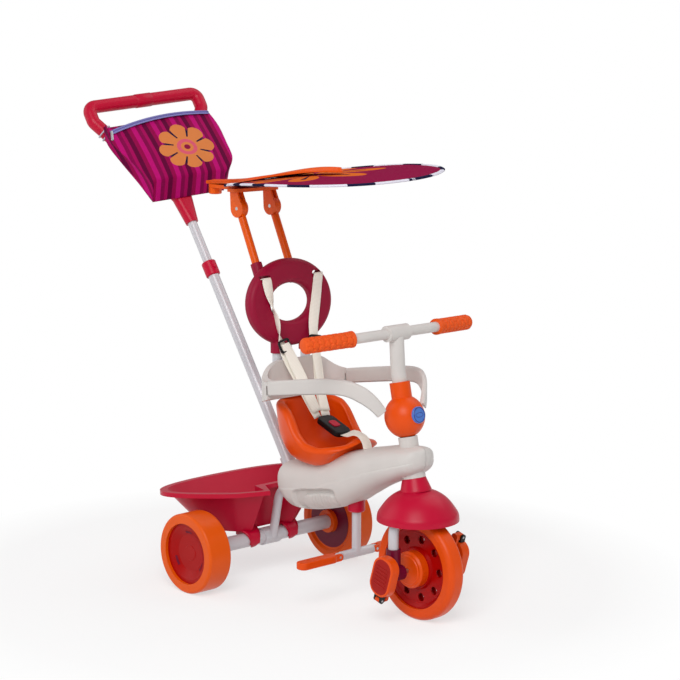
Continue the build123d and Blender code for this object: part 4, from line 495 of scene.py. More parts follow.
def printed_canopy_cloth():
    """Plain-woven polyester printed plum, with large orange leaves that fan out from one point."""
    stalk = (-0.02, 0.0, 0.0)
    leaf_length, stalk_gap, vein_length = 0.165, 0.03, 0.12
    material, tree = blank_material("printed_polyester_canopy")
    place = add(tree, "ShaderNodeUVMap", uv_map="cloth")
    from_stalk = add(tree, "ShaderNodeVectorMath", {0: place, 1: stalk}, operation="SUBTRACT")
    reach = add(tree, "ShaderNodeVectorMath", {0: from_stalk}, operation="LENGTH")
    petal = petal_share(tree, from_stalk, 3.5)
    swell = add(tree, "ShaderNodeMath", {0: petal, 1: 0.6}, operation="POWER")
    edge = add(tree, "ShaderNodeMath", {0: swell, 1: leaf_length}, operation="MULTIPLY")
    inside = add(tree, "ShaderNodeMath", {0: reach, 1: edge}, operation="LESS_THAN")
    beyond = add(tree, "ShaderNodeMath", {0: reach, 1: stalk_gap}, operation="GREATER_THAN")
    leaf = add(tree, "ShaderNodeMath", {0: inside, 1: beyond}, operation="MULTIPLY")
    middle = add(tree, "ShaderNodeMath", {0: petal, 1: 0.985}, operation="GREATER_THAN")
    near = add(tree, "ShaderNodeMath", {0: reach, 1: vein_length}, operation="LESS_THAN")
    line = add(tree, "ShaderNodeMath", {0: middle, 1: near}, operation="MULTIPLY")
    vein = add(tree, "ShaderNodeMath", {0: line, 1: leaf}, operation="MULTIPLY")
    colour = printed(tree, linear("#900040"), ((leaf, "#E06A1C"), (vein, "#3A1030")))
    cloth_surface(tree, colour, weave_height(tree, place, 1.3823), 0.12)
    return material


def chequered_binding():
    """Woven binding tape in alternating navy and white blocks."""
    repeat, navy_share = 0.140, 0.42
    material, tree = blank_material("woven_binding_chequered")
    place = add(tree, "ShaderNodeUVMap", uv_map="cloth")
    run = add(tree, "ShaderNodeSeparateXYZ", {0: place}).outputs[1]
    repeats = add(tree, "ShaderNodeMath", {0: run, 1: repeat}, operation="DIVIDE")
    block = add(tree, "ShaderNodeMath", {0: repeats}, operation="FRACT")
    navy = add(tree, "ShaderNodeMath", {0: block, 1: navy_share}, operation="LESS_THAN")
    colour = printed(tree, linear("#E6E3F0"), ((navy, "#1C1A3C"),))
    cloth_surface(tree, colour, weave_height(tree, place, 1.0053), 0.15)
    return material


class TRIKE_OT_canopy(bpy.types.Operator):
    """Stretch the printed cloth of the sun canopy on its oval hoop and bind its edge"""

    bl_idname = "trike.canopy"
    bl_label = "Sun canopy"

    def execute(self, context):
        sizes = context.scene.trike_cloth
        low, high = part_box("canopy_fabric")
        half_length = sizes.canopy_length / 2
        bow = sizes.canopy_bow
        bow_radius = (half_length ** 2 + bow ** 2) / (2 * bow)
        up = Vector((-math.tan(sizes.canopy_pitch), -math.tan(sizes.canopy_roll), 1)).normalized()
        along = Vector((1, 0, math.tan(sizes.canopy_pitch))).normalized()
        across = up.cross(along)
        centre = Vector(((low.x + high.x) / 2 - 0.0012, 0, 0))
        # the cloth hangs a little under the solid sheet's top, at the height of its middle
        below_top, thickness = 0.002, 0.0012
        top = max(v.co.dot(up) for v in nodes["canopy_fabric"].data.vertices
                  if abs(v.co.x - centre.x) < half_length * 0.3)
        centre.z = (top - centre.x * up.x - centre.y * up.y) / up.z

        def on_sheet(turn, share, lift=0.0):
            x = half_length * math.cos(turn) * share
            taper = 1 + sizes.canopy_narrowing * math.cos(turn)
            y = sizes.canopy_width / 2 * math.sin(turn) * taper * share
            rise = math.sqrt(bow_radius ** 2 - x * x) - bow_radius
            return x, y, centre + along * x + across * y + up * (rise + lift - below_top)

        rings, turns = 22, 96
        cloth_share = 0.988
        rows, uvs = [], []
        for side, order in ((1, range(1, rings + 1)), (-1, range(rings, 0, -1))):
            for ring in order:
                row = []
                for step in range(turns):
                    turn = FULL_TURN * step / turns
                    share = ring / rings * cloth_share
                    ripple = 0.0006 * math.sin(turn * 9 + ring * 0.4) * share ** 3
                    x, y, point = on_sheet(turn, share, side * thickness / 2 + ripple)
                    row.append(point)
                    uvs.append((x, y))
                rows.append(row)
        cloth = grid_object("canopy_cloth", rows, True, True, uvs)
        dress(cloth, "canopy", printed_canopy_cloth(), ["canopy_fabric"])

        rows, uvs, run, last = [], [], 0.0, None
        half = sizes.binding_width / 2
        # section of the tape folded over the hoop, as a share of half its width and a height
        section = ((-1.0, 0.0), (-0.7, 0.0022), (0.4, 0.0026), (1.0, 0.0008), (1.0, -0.0008),
                   (0.4, -0.0026), (-0.7, -0.0022))
        profile = [(half * out, lift) for out, lift in section]
        steps = 180
        for step in range(steps):
            turn = FULL_TURN * step / steps
            rim = on_sheet(turn, 1.0)[2]
            outward = (rim - on_sheet(turn, 0.97)[2]).normalized()
            if last is not None:
                run += (rim - last).length
            last = rim
            rows.append([rim + outward * (out - half) + up * lift for out, lift in profile])
            uvs.extend([(out, run) for out, _ in profile])
        binding = grid_object("canopy_binding", rows, True, True, uvs)
        dress(binding, "canopy", chequered_binding())
        return {"FINISHED"}


# ------------------------------------------------------------------ handle's frame
def handle_frame():
    """Middle of the handle's crossbar, and its directions across, up the pole and forward."""
    up = Vector(joints["handle_slide"]["axis"]).normalized()
    turn = math.radians(-10.0)
    across = Vector((0, math.cos(turn), 0)) + up.cross(Vector((0, 1, 0))) * math.sin(turn)
    forward = across.cross(up)
    pole = Vector(joints["pole_turn"]["pos_m"])
    top = max((v.co - pole).dot(up) for v in nodes["push_handle"].data.vertices)
    return pole + up * (top - 0.0155), across, up, forward


# ------------------------------------------------------------------ bag
def striped_bag_cloth(forward):
    """Printed nylon: broad stripes in plums, and on the front a flower with a ring of seeds."""
    stripe_repeat = 0.054
    flower = (0.030, -0.170, 0.0)
    petal_reach, petal_swell, notch_start = 0.052, 0.022, 0.034
    material, tree = blank_material("printed_nylon_striped")
    place = add(tree, "ShaderNodeUVMap", uv_map="cloth")
    parts = add(tree, "ShaderNodeSeparateXYZ", {0: place})
    wobble = add(tree, "ShaderNodeTexNoise", {"Vector": place, "Scale": 9.0, "Detail": 1.0})
    sway = add(tree, "ShaderNodeMath", {0: wobble, 1: 0.002}, operation="MULTIPLY")
    across = add(tree, "ShaderNodeMath", {0: parts.outputs[0], 1: sway}, operation="ADD")
    shifted = add(tree, "ShaderNodeMath", {0: across, 1: 1.0}, operation="ADD")
    repeats = add(tree, "ShaderNodeMath", {0: shifted, 1: stripe_repeat}, operation="DIVIDE")
    share = add(tree, "ShaderNodeMath", {0: repeats}, operation="FRACT")
    ramp = add(tree, "ShaderNodeValToRGB", {"Fac": share})
    ramp.color_ramp.interpolation = "CONSTANT"
    stops = [(0.0, "#BA0C70"), (0.23, "#820448"), (0.42, "#A40658"), (0.58, "#600036"), (0.80, "#920448")]
    while len(ramp.color_ramp.elements) < len(stops):
        ramp.color_ramp.elements.new(0.5)
    for element, (position, code) in zip(ramp.color_ramp.elements, stops):
        element.position = position
        element.color = linear(code)
    from_middle = add(tree, "ShaderNodeVectorMath", {0: place, 1: flower}, operation="SUBTRACT")
    distance = add(tree, "ShaderNodeVectorMath", {0: from_middle}, operation="LENGTH")
    # one metre is added on faces that look backwards, which puts them out of the flower's reach
    normal = add(tree, "ShaderNodeTexCoord").outputs["Normal"]
    facing = add(tree, "ShaderNodeVectorMath", {0: normal, 1: tuple(forward)}, operation="DOT_PRODUCT")
    backwards = add(tree, "ShaderNodeMath", {0: facing, 1: 0.0}, operation="LESS_THAN")
    reach = add(tree, "ShaderNodeMath", {0: distance, 1: backwards}, operation="ADD")
    petal = petal_share(tree, from_middle, 4.0)
    swell = add(tree, "ShaderNodeMath", {0: petal, 1: 0.5}, operation="POWER")
    round_tip = add(tree, "ShaderNodeMath", {0: swell, 1: petal_swell}, operation="MULTIPLY")
    edge = add(tree, "ShaderNodeMath", {0: round_tip, 1: petal_reach}, operation="ADD")
    in_petals = add(tree, "ShaderNodeMath", {0: reach, 1: edge}, operation="LESS_THAN")
    between_petals = add(tree, "ShaderNodeMath", {0: petal, 1: 0.22}, operation="LESS_THAN")
    beyond = add(tree, "ShaderNodeMath", {0: reach, 1: notch_start}, operation="GREATER_THAN")
    outer = add(tree, "ShaderNodeMath", {0: in_petals, 1: beyond}, operation="MULTIPLY")
    notch = add(tree, "ShaderNodeMath", {0: between_petals, 1: outer}, operation="MULTIPLY")
    rings = [(add(tree, "ShaderNodeMath", {0: reach, 1: radius}, operation="LESS_THAN"), code)
             for radius, code in ((0.026, "#D85A70"), (0.016, "#D98046"), (0.008, "#8C0E40"))]
    colour = printed(tree, ramp, [(in_petals, "#D98046"), (notch, "#16183A")] + rings)
    cloth_surface(tree, colour, weave_height(tree, place, 1.2566), 0.12, 0.6)
    return material


class TRIKE_OT_bag(bpy.types.Operator):
    """Sew the zipped bag that hangs in the push handle"""

    bl_idname = "trike.bag"
    bl_label = "Handle bag"

    def execute(self, context):
        origin, across, up, forward = handle_frame()
        back = 0.0165
        top_drop, full_drop = 0.066, 0.21
        # outline of the front panel: height below the crossbar, left edge, right edge, depth there
        outline = [(top_drop, -0.138, 0.138, 0.019), (0.110, -0.147, 0.147, 0.026),
                   (0.165, -0.130, 0.145, 0.034), (0.222, -0.108, 0.140, 0.041),
                   (0.262, -0.095, 0.118, 0.044), (0.276, -0.090, 0.105, 0.040)]
        levels = smooth_path(outline, 7)
        wide, deep = 34, 7
        rows, uvs = [], []

        def crease(u, v):
            """Soft folds in the cloth, from -0.75 to 0.75."""
            point = Vector((u * 9, v * 7, 0))
            return noise.noise(point) * 0.5 + noise.noise(point * 2.7) * 0.25

        for drop, left, right, depth in levels:
            row = []
            span = right - left
            down = (drop - top_drop) / full_drop
            fold = 0.034 * down ** 3
            for step in range(wide):
                s = step / (wide - 1)
                u = left + span * s
                bulge = 0.006 * math.sin(math.pi * s) * math.sin(math.pi * min(1, down * 1.05))
                folds = 0.008 * crease(u, drop) * math.sin(math.pi * s) * min(1, 3 * down)
                sag = (self.zip_drop(u) - top_drop) * (1 - down) ** 2
                row.append((u, drop + sag - fold, depth + bulge + folds))
                uvs.append((u, -drop))
            # the side walls are pinched in half way between the front and the back
            walls = [(step / deep, 0.006 * math.sin(math.pi * step / deep) * math.sin(math.pi * down))
                     for step in range(1, deep)]
            for q, pinch in walls:
                row.append((right - pinch, drop - fold * (1 - q), depth * (1 - q)))
                uvs.append((right + q * depth, -drop))
            for step in range(wide):
                u = left + span * (1 - step / (wide - 1))
                row.append((u, drop - 0.002, 0.0))
                uvs.append((u, -drop))
            for q, pinch in walls:
                row.append((left + pinch, drop - fold * q, depth * q))
                uvs.append((left - depth * (1 - q), -drop))
            rows.append([origin + across * u - up * v + forward * (back + w) for u, v, w in row])
        columns = len(rows[0])
        verts = [point for row in rows for point in row]
        faces = strip_faces(len(rows), columns, False, True)
        # the top and the bottom are closed by quads from front to back and a fan at each side
        for base, is_top in ((0, True), ((len(rows) - 1) * columns, False)):
            far = base + wide + deep - 1
            for step in range(wide - 1):
                quad = (base + step, base + step + 1, far + wide - 2 - step, far + wide - 1 - step)
                faces.append(quad[::-1] if is_top else quad)
            right_edge = [base + wide - 1 + k for k in range(deep + 1)]
            left_edge = [base + (2 * wide + deep - 2 + k) % columns for k in range(deep + 1)]
            for ring in (right_edge, left_edge):
                faces.append(tuple(ring if is_top else reversed(ring)))
        bag = new_object("bag_shell", verts, faces, uvs)
        dress(bag, "handle", striped_bag_cloth(forward), ["bag"], 1)

        zip_half = 0.136
        line = []
        for step in range(41):
            u = -zip_half + 2 * zip_half * step / 40
            depth = 0.0205 + 0.0035 * math.cos(u * 10)
            line.append(origin + across * u - up * (self.zip_drop(u) + 0.001) + forward * (back + depth))
        lean = up * 0.93 - forward * 0.37
        tape = ribbon("bag_zip_tape", [(place, lean) for place in line], 0.0125, 0.0012)
        dress(tape, "handle", finish_of("zip"))
        coil = [place + forward * 0.0008 + up * 0.0006 for place in line]
        teeth = tube("bag_zip_teeth", coil, 0.0015, 8)
        dress(teeth, "handle", finish_of("zip_dark"))
        hanging = [(line[0] - up * drop + forward * 0.004 - across * drop * 0.3, across)
                   for drop in (-0.003, 0.0, 0.005, 0.011, 0.017, 0.023)]
        pull = ribbon("bag_zip_pull", hanging, 0.0065, 0.0018)
        dress(pull, "handle", finish_of("steel"), levels=1)
        handle = facing_tree("push_handle")
        tube_radius, loop_radius = 0.0155, 0.0176

        def outer_side(side, drop):
            """Place on the handle's outer side at a height below the crossbar."""
            hit = handle.ray_cast(origin + across * (side * 0.3) - up * drop, across * -side)[0]
            if hit is None:
                raise RuntimeError("the handle has no side tube where the bag's loops go")
            return hit

        for side, label in SIDES:
            for row, drop in enumerate((0.076, 0.086)):
                along = (outer_side(side, drop + 0.012) - outer_side(side, drop - 0.012)).normalized()
                wide_way = (across - along * across.dot(along)).normalized()
                centre = outer_side(side, drop) - wide_way * (side * tube_radius)
                ring = ring_points(centre, wide_way, along.cross(wide_way), loop_radius, 24)
                loop = tube("bag_loop_%s_%d" % (label, row), ring, 0.0018, 8, True)
                dress(loop, "handle", finish_of("loop"))
        return {"FINISHED"}

    def zip_drop(self, u):
        """Height of the zip below the crossbar: it sags towards both ends, most at the right one."""
        return 0.067 + 0.024 * ((u - 0.045) / 0.183) ** 2


# ------------------------------------------------------------------ harness
def strap_place(side, share):
    """Middle of a shoulder strap at a share of the way from its slot to the buckle."""
    top = Vector((0.0274, side * 0.0775, 0.700))
    foot = Vector((0.1225, side * 0.0125, 0.3935))
    slack = 4 * share * (1 - share)
    return top.lerp(foot, share) + Vector((-0.024, 0, -0.006)) * slack


def strap_width_way(lean, axis=(0.3, 0, -1)):
    """Direction of a strap's width where it is twisted by an angle about its run."""
    return Matrix.Rotation(lean, 3, Vector(axis)) @ Vector((0, 1, 0))


def squared(value):
    """A cosine or sine bent so that a circle drawn with it becomes a rounded rectangle."""
    return math.copysign(abs(value) ** 0.35, value)


class TRIKE_OT_harness(bpy.types.Operator):
    """Thread the cream webbing through the backrest slots, the adjusters and the buckle"""

    bl_idname = "trike.harness"
    bl_label = "Harness webbing"

    def execute(self, context):
        sizes = context.scene.trike_cloth
        width, thickness = sizes.webbing_width, sizes.webbing_thickness
        cloth = finish_of("webbing")
        child_side = Vector((0.95, 0, 0.31))
        middle_share = 0.475
        steps = 40
        for side, label, turns in ((-1, "right", 1.35), (1, "left", 0.25)):
            stations = []
            for step in range(steps + 1):
                share = step / steps
                twist = turns * math.exp(-((share - 0.30) / 0.13) ** 2)
                settle = 0.12 * math.sin(share * 9 + side)
                place = strap_place(side, share)
                place.y += 0.004 * math.sin(share * 11 + side * 0.7) * math.sin(math.pi * share)
                stations.append((place, strap_width_way(side * (twist + settle))))
            # the strap's first stretch goes back through its slot
            stations.insert(0, (stations[0][0] + Vector((-0.030, 0, -0.010)), Vector((0, 1, 0))))
            strap = ribbon("shoulder_strap_" + label, stations, width, thickness)
            dress(strap, "frame", cloth, ["harness_straps"])
            # the loose end, doubled under the adjuster down to the buckle
            lower = []
            for step in range(24):
                share = 0.46 + 0.50 * step / 23
                lift = 0.0042 + 0.0035 * math.sin(math.pi * step / 23) * (1.4 - side * 0.4)
                place = strap_place(side, share) + child_side * lift
                lean = side * (0.10 - 0.42 * math.sin(math.pi * step / 23))
                lower.append((place + Vector((0, -side * 0.003, 0)), strap_width_way(lean)))
            tail = ribbon("strap_tail_" + label, lower, width * 1.06, thickness)
            dress(tail, "frame", cloth)
            centre = strap_place(side, middle_share) + child_side * 0.004
            below, above = (strap_place(side, middle_share + way) for way in (0.03, -0.03))
            down = (below - above).normalized()
            lean = strap_width_way(side * 0.12, down)
            lean = (lean - down * lean.dot(down)).normalized()
            corners = [centre + lean * (0.0165 * squared(math.cos(angle)))
                       + down * (0.0125 * squared(math.sin(angle)))
                       for angle in [FULL_TURN * step / 48 for step in range(48)]]
            ring = tube("strap_adjuster_" + label, corners, 0.0028, 10, True)
            dress(ring, "frame", finish_of("black"), ["strap_sliders"])
        over_pommel = smooth_path([(0.1945, 0.0, 0.3655), (0.2120, 0.0, 0.3690), (0.2330, 0.0, 0.3720),
                                   (0.2520, 0.0, 0.3685), (0.2640, 0.0, 0.3570), (0.2690, 0.0, 0.3420)], 6)
        crotch = [(Vector(point), strap_width_way(0.5 * math.exp(-((at - 7) / 5.0) ** 2), (1, 0, 0)))
                  for at, point in enumerate(over_pommel)]
        strap = ribbon("crotch_strap", crotch, width, thickness)
        dress(strap, "frame", cloth)
        return {"FINISHED"}


# ------------------------------------------------------------------ safety arms
def arm_channel():
    """Section of the arm: an upturned trough, open below. Points run round the wall."""
    half, low, high, wall, corner = 0.0062, -0.0175, 0.0175, 0.0024, 0.005
    shoulder = high - corner * 0.3
    outer = [(-half, low), (-half, high - corner), (-half * 0.75, shoulder), (-half * 0.3, high),
             (half * 0.3, high), (half * 0.75, shoulder), (half, high - corner), (half, low)]
    inner = [(half - wall, low), (half - wall, high - corner - wall * 0.4), (0.0, high - wall),
             (wall - half, high - corner - wall * 0.4), (wall - half, low)]
    return outer + inner


class TRIKE_OT_safety_arms(bpy.types.Operator):
    """Bend the two hollow safety arms round the child's waist and down at their tips"""

    bl_idname = "trike.safety_arms"
    bl_label = "Safety arms"

    def execute(self, context):
        plan = [(0.0780, 0.1180, 0.4655), (0.1500, 0.1180, 0.4775), (0.2300, 0.1180, 0.4900),
                (0.2800, 0.1165, 0.4965), (0.3180, 0.1080, 0.4965), (0.3460, 0.0930, 0.4850),
                (0.3640, 0.0760, 0.4660), (0.3745, 0.0610, 0.4440)]
        section = arm_channel()
        slim_from = 0.72
        for side, label in SIDES:
            path = [Vector((x, side * y, z)) for x, y, z in smooth_path(plan, 7)]
            rows = []
            for at, place in enumerate(path):
                ahead = path[min(at + 1, len(path) - 1)]
                behind = path[max(at - 1, 0)]
                along = (ahead - behind).normalized()
                aside = along.cross(Vector((0, 0, 1))).normalized()
                up = aside.cross(along).normalized()
                share = at / (len(path) - 1)
                slim = 1 - 0.30 * max(0.0, share - slim_from) / (1 - slim_from)
                rows.append([place + aside * x + up * (z * slim) for x, z in section])
            arm = grid_object("arm_channel_" + label, rows, False, True, None, True)
            dress(arm, "safety_arm_" + label, finish_of("grey"), ["safety_arm_" + label[0]], 1)
        return {"FINISHED"}


# ------------------------------------------------------------------ seat
# outline of the bowl: height, rear edge, front edge and half the width there
SEAT_SECTIONS = ((0.297, 0.069, 0.217, 0.062), (0.309, 0.053, 0.241, 0.076),
                 (0.331, 0.039, 0.256, 0.090), (0.363, 0.027, 0.258, 0.097),
                 (0.431, 0.018, 0.258, 0.098))
SEAT_BASE = SEAT_SECTIONS[0][0]
SEAT_MIDDLE = 0.143
# top of the rim: place along the seat and height
SEAT_RIM = ((0.018, 0.431), (0.075, 0.428), (0.100, 0.420), (0.118, 0.402), (0.134, 0.374),
            (0.156, 0.352), (0.191, 0.344), (0.231, 0.351), (0.270, 0.357))
# top of the body under the seat: place along it and height
BODY_TOP = ((0.070, 0.293), (0.146, 0.313), (0.226, 0.334), (0.277, 0.346))
POMMEL_TOP = 0.3635


def seat_point(angle, height, inset):
    """Point on the seat's wall at a height, moved inwards by the inset."""
    rear, front, half = (between(SEAT_SECTIONS, height, column) for column in (1, 2, 3))
    rear, front, half = rear + inset, front - inset, half - inset
    power = 2 / 2.25
    cosine, sine = math.cos(angle), math.sin(angle)
    x = (rear + front) / 2 + (front - rear) / 2 * math.copysign(abs(cosine) ** power, cosine)
    return x, half * math.copysign(abs(sine) ** power, sine)


class TRIKE_OT_seat(bpy.types.Operator):
    """Mould the bucket seat: a deep bowl with a thick rolled rim and a pommel between the legs"""

    bl_idname = "trike.seat"
    bl_label = "Seat"

    def execute(self, context):
        wall, roll = 0.020, 0.0115
        turns = 96
        columns = []
        for step in range(turns):
            angle = FULL_TURN * step / turns
            # the wall's height and its outline depend on each other, so both settle in a few rounds
            height = SEAT_SECTIONS[-1][0]
            for _ in range(30):
                rim_x = seat_point(angle, height, wall / 2)[0]
                height += 0.5 * (between(SEAT_RIM, rim_x, 1) - roll - height)
            floor_z = SEAT_BASE + 0.010
            column = [(SEAT_MIDDLE, 0.0, floor_z + 0.002)]
            for share in (0.35, 0.7, 0.93):
                x, y = seat_point(angle, floor_z, wall)
                column.append((SEAT_MIDDLE + (x - SEAT_MIDDLE) * share, y * share,
                               floor_z + 0.002 + 0.003 * share ** 4))
            for share in (0.12, 0.3, 0.5, 0.7, 0.9):
                z = floor_z + 0.004 + (height - floor_z) * share
                column.append((*seat_point(angle, z, wall), z))
            centre_x, centre_y = seat_point(angle, height, wall / 2)
            inner_x, inner_y = seat_point(angle, height, wall)
            outward = Vector((centre_x - inner_x, centre_y - inner_y, 0)).normalized()
            for arc in range(9):
                tilt = math.pi * (1 - arc / 8)
                out = roll * math.cos(tilt)
                column.append((centre_x + outward.x * out, centre_y + outward.y * out,
                               height + roll * math.sin(tilt)))
            for share in (0.85, 0.6, 0.35, 0.1):
                z = SEAT_BASE + (height - SEAT_BASE) * share
                column.append((*seat_point(angle, z, 0.0), z))
            column.append((*seat_point(angle, SEAT_BASE, 0.004), SEAT_BASE))
            column.append((SEAT_MIDDLE, 0.0, SEAT_BASE))
            columns.append(column)

        def raised(point):
            """Lift the front over the body's slope and up into the pommel."""
            x, y, z = point
            rise = 0.034 * smooth_step(0.165, 0.262, x) * (1 - smooth_step(0.300, 0.350, z))
            if z <= SEAT_BASE + 0.006:
                return Vector((x, y, z + rise))
            z += rise * 0.5
            hump = math.exp(-(y / 0.026) ** 2 - ((x - 0.240) / 0.030) ** 2)
            body_top = between(BODY_TOP, x, 1) + 0.007
            settled = z + max(0.0, body_top - z) * (1 - smooth_step(0.040, 0.072, abs(y)))
            return Vector((x, y, settled + max(0.0, POMMEL_TOP - settled) * hump))

        rows = [[raised(columns[step][level]) for step in range(turns)] for level in range(len(columns[0]))]
        seat = grid_object("seat_bowl", rows, False, True)
        dress(seat, "frame", finish_of("orange"), ["seat_shell"], 1)
        return {"FINISHED"}


# ------------------------------------------------------------------ grips
class TRIKE_OT_grips(bpy.types.Operator):
    """Mould the soft grips with rows of raised scales and an end flange"""

    bl_idname = "trike.grips"
    bl_label = "Handlebar grips"

    def execute(self, context):
        places = [v.co for v in nodes["grips"].data.vertices]
        turns, steps = 144, 150
        core, flange, end_band = 0.0146, 0.0176, 0.012
        flange_end, scales_end = 0.055, 0.97
        scale_rows, scales_round = 8.0, 7
        for side, label in SIDES:
            own = [p for p in places if p.y * side > 0]
            reach = [abs(p.y) for p in own]
            near, far = min(reach), max(reach)
            ends = []
            for group in ([p for p in own if abs(p.y) < near + end_band],
                          [p for p in own if abs(p.y) > far - end_band]):
                ends.append(Vector([(min(p[way] for p in group) + max(p[way] for p in group)) / 2
                                    for way in range(3)]))
            along = (ends[1] - ends[0]).normalized()
            first = ends[0] + along * ((near - abs(ends[0].y)) / abs(along.y))
            length = (far - near) / abs(along.y)
            ahead = along.cross(Vector((0, 0, 1))).normalized()
            above = ahead.cross(along)
            rows = []
            for step in range(steps + 1):
                share = step / steps
                row = []
                for turn in range(turns):
                    angle = FULL_TURN * turn / turns
                    radius = core
                    if share < flange_end:
                        radius = flange
                    elif share > scales_end:
                        radius = core + 0.001 - 0.004 * ((share - scales_end) / (1 - scales_end)) ** 2
                    else:
                        run = (share - flange_end) / (scales_end - flange_end) * scale_rows
                        around = angle / FULL_TURN * scales_round
                        u = (run % 1) - 0.5
                        v = ((around + 0.5 * (math.floor(run) % 2)) % 1) - 0.5
                        edge = max(abs(u) * 2, abs(v) * 1.5 + abs(u))
                        radius += 0.0024 * min(1.0, max(0.0, (1.0 - edge) * 3.2))
                    row.append(first + along * (length * share) + ahead * (radius * math.cos(angle))
                               + above * (radius * math.sin(angle)))
                rows.append(row)
            grip = grid_object("grip_" + label, rows, False, True, None, True)
            dress(grip, "steering", finish_of("grip"), ["grips"])
        return {"FINISHED"}


# ------------------------------------------------------------------ body
# outline of the body: place along it, underside, top and half the width there
BODY_STATIONS = ((0.0170, 0.2400, 0.2520, 0.0200), (0.0200, 0.2250, 0.2650, 0.0370),
                 (0.0260, 0.2120, 0.2760, 0.0460), (0.0364, 0.2010, 0.2840, 0.0530),
                 (0.0714, 0.1820, 0.2930, 0.0580), (0.1464, 0.1900, 0.3130, 0.0570),
                 (0.2264, 0.2130, 0.3340, 0.0540), (0.2774, 0.2420, 0.3460, 0.0520),
                 (0.3274, 0.2710, 0.3570, 0.0500), (0.3784, 0.2940, 0.3680, 0.0480),
                 (0.4084, 0.3070, 0.3710, 0.0470), (0.4264, 0.3160, 0.3710, 0.0410),
                 (0.4374, 0.3260, 0.3695, 0.0280), (0.4434, 0.3350, 0.3640, 0.0140))
# line of the crease along the side: place along the body and height
CREASE_LINE = ((0.020, 0.226), (0.055, 0.229), (0.148, 0.2450), (0.229, 0.2750), (0.325, 0.3100),
               (0.389, 0.3300), (0.440, 0.3450))
SEAM_GAP = 0.0003  # half the gap between the two halves of the body
LEVER_START, LEVER_END, LEVER_STEP = 0.080, 0.235, 0.0013
RIB_PITCH = 0.0085


def recess_depth(x, z):
    """How deep the side is sunk at a place, and how far the ribbed lever in it stands out again."""
    slope = 0.174
    level = z - slope * (x - 0.150)
    # places within the recess and within the lever, as shares of half their length and height
    u, v = (x - 0.152) / 0.068, (level - 0.2190) / 0.0245
    inside = 1 - smooth_step(0.90, 1.0, (abs(u) ** 6 + abs(v) ** 6) ** (1 / 6))
    sunk = 0.0105 * inside
    p, q = (x - 0.168) / 0.049, (level - 0.2090) / 0.0235
    lever = 1 - smooth_step(0.88, 1.0, (abs(p) ** 5 + abs(q) ** 5) ** (1 / 5))
    ribs = (0.5 + 0.5 * math.cos((x - 0.150) * FULL_TURN / RIB_PITCH)) ** 2
    ribbed = smooth_step(0.142, 0.150, x) * (1 - smooth_step(0.196, 0.204, x)) * ribs
    return sunk - lever * (0.0125 - 0.0046 * ribbed) * inside


class TRIKE_OT_body(bpy.types.Operator):
    """Mould both halves of the body, with the crease along the side and the ribbed release lever"""

    bl_idname = "trike.body"
    bl_label = "Body shells"

    def execute(self, context):
        curve = smooth_path([list(station) for station in BODY_STATIONS], 12)
        # the stations stand closer together along the lever, so that its ribs show
        lever_stretch = [LEVER_START + LEVER_STEP * step for step in range(118)]
        others = [station[0] for station in curve if not LEVER_START <= station[0] <= LEVER_END]
        places = sorted(others + lever_stretch)
        stations = [(x, *(between(curve, x, column) for column in (1, 2, 3))) for x in places]
        columns = 132
        for side, label in SIDES:
            rows = []
            for x, low, high, half in stations:
                row = []
                crease = between(CREASE_LINE, x, 1)
                for column in range(columns + 1):
                    angle = -math.pi / 2 + math.pi * column / columns
                    cosine, sine = math.cos(angle), math.sin(angle)
                    y = half * max(cosine, 0.0) ** (2 / 2.9)
                    z = (low + high) / 2 + (high - low) / 2 * math.copysign(abs(sine) ** (2 / 2.4), sine)
                    if sine > 0:
                        # a low ridge along the top, in front of the seat
                        z += 0.0025 * math.exp(-(y / 0.009) ** 2) * smooth_step(0.24, 0.30, x)
                    out = 0.0
                    if half > 0.030 and y > half * 0.35:
                        out -= 0.0009 * math.exp(-((z - crease) / 0.0011) ** 2)
                        out += 0.0012 * smooth_step(-0.004, 0.004, crease - z)
                        out -= recess_depth(x, z)
                    row.append(Vector((x, side * (max(y, 0.0) + SEAM_GAP + out), z)))
                rows.append(row)
            # each end is closed by rows that shrink to a point and bulge out a little
            for end, shift in ((0, -0.0015), (-1, 0.0015)):
                rim = rows[end]
                cap = Vector((rim[0].x + shift, side * SEAM_GAP, (rim[0].z + rim[-1].z) / 2))
                closing = []
                for share, flat in ((0.0, 0.0), (0.5, 0.25), (0.85, 0.7225)):
                    row = [cap + (point - cap) * share for point in rim]
                    for point in row:
                        point.x = rim[0].x + shift * (1 - flat)
                    closing.append(row)
                rows = closing + rows if end == 0 else rows + closing[::-1]
            if side > 0:
                rows.reverse()
            shell = grid_object("body_shell_" + label[0], rows)
            dress(shell, "frame", finish_of("grey"), ["body_cover_" + label[0]])
        return {"FINISHED"}


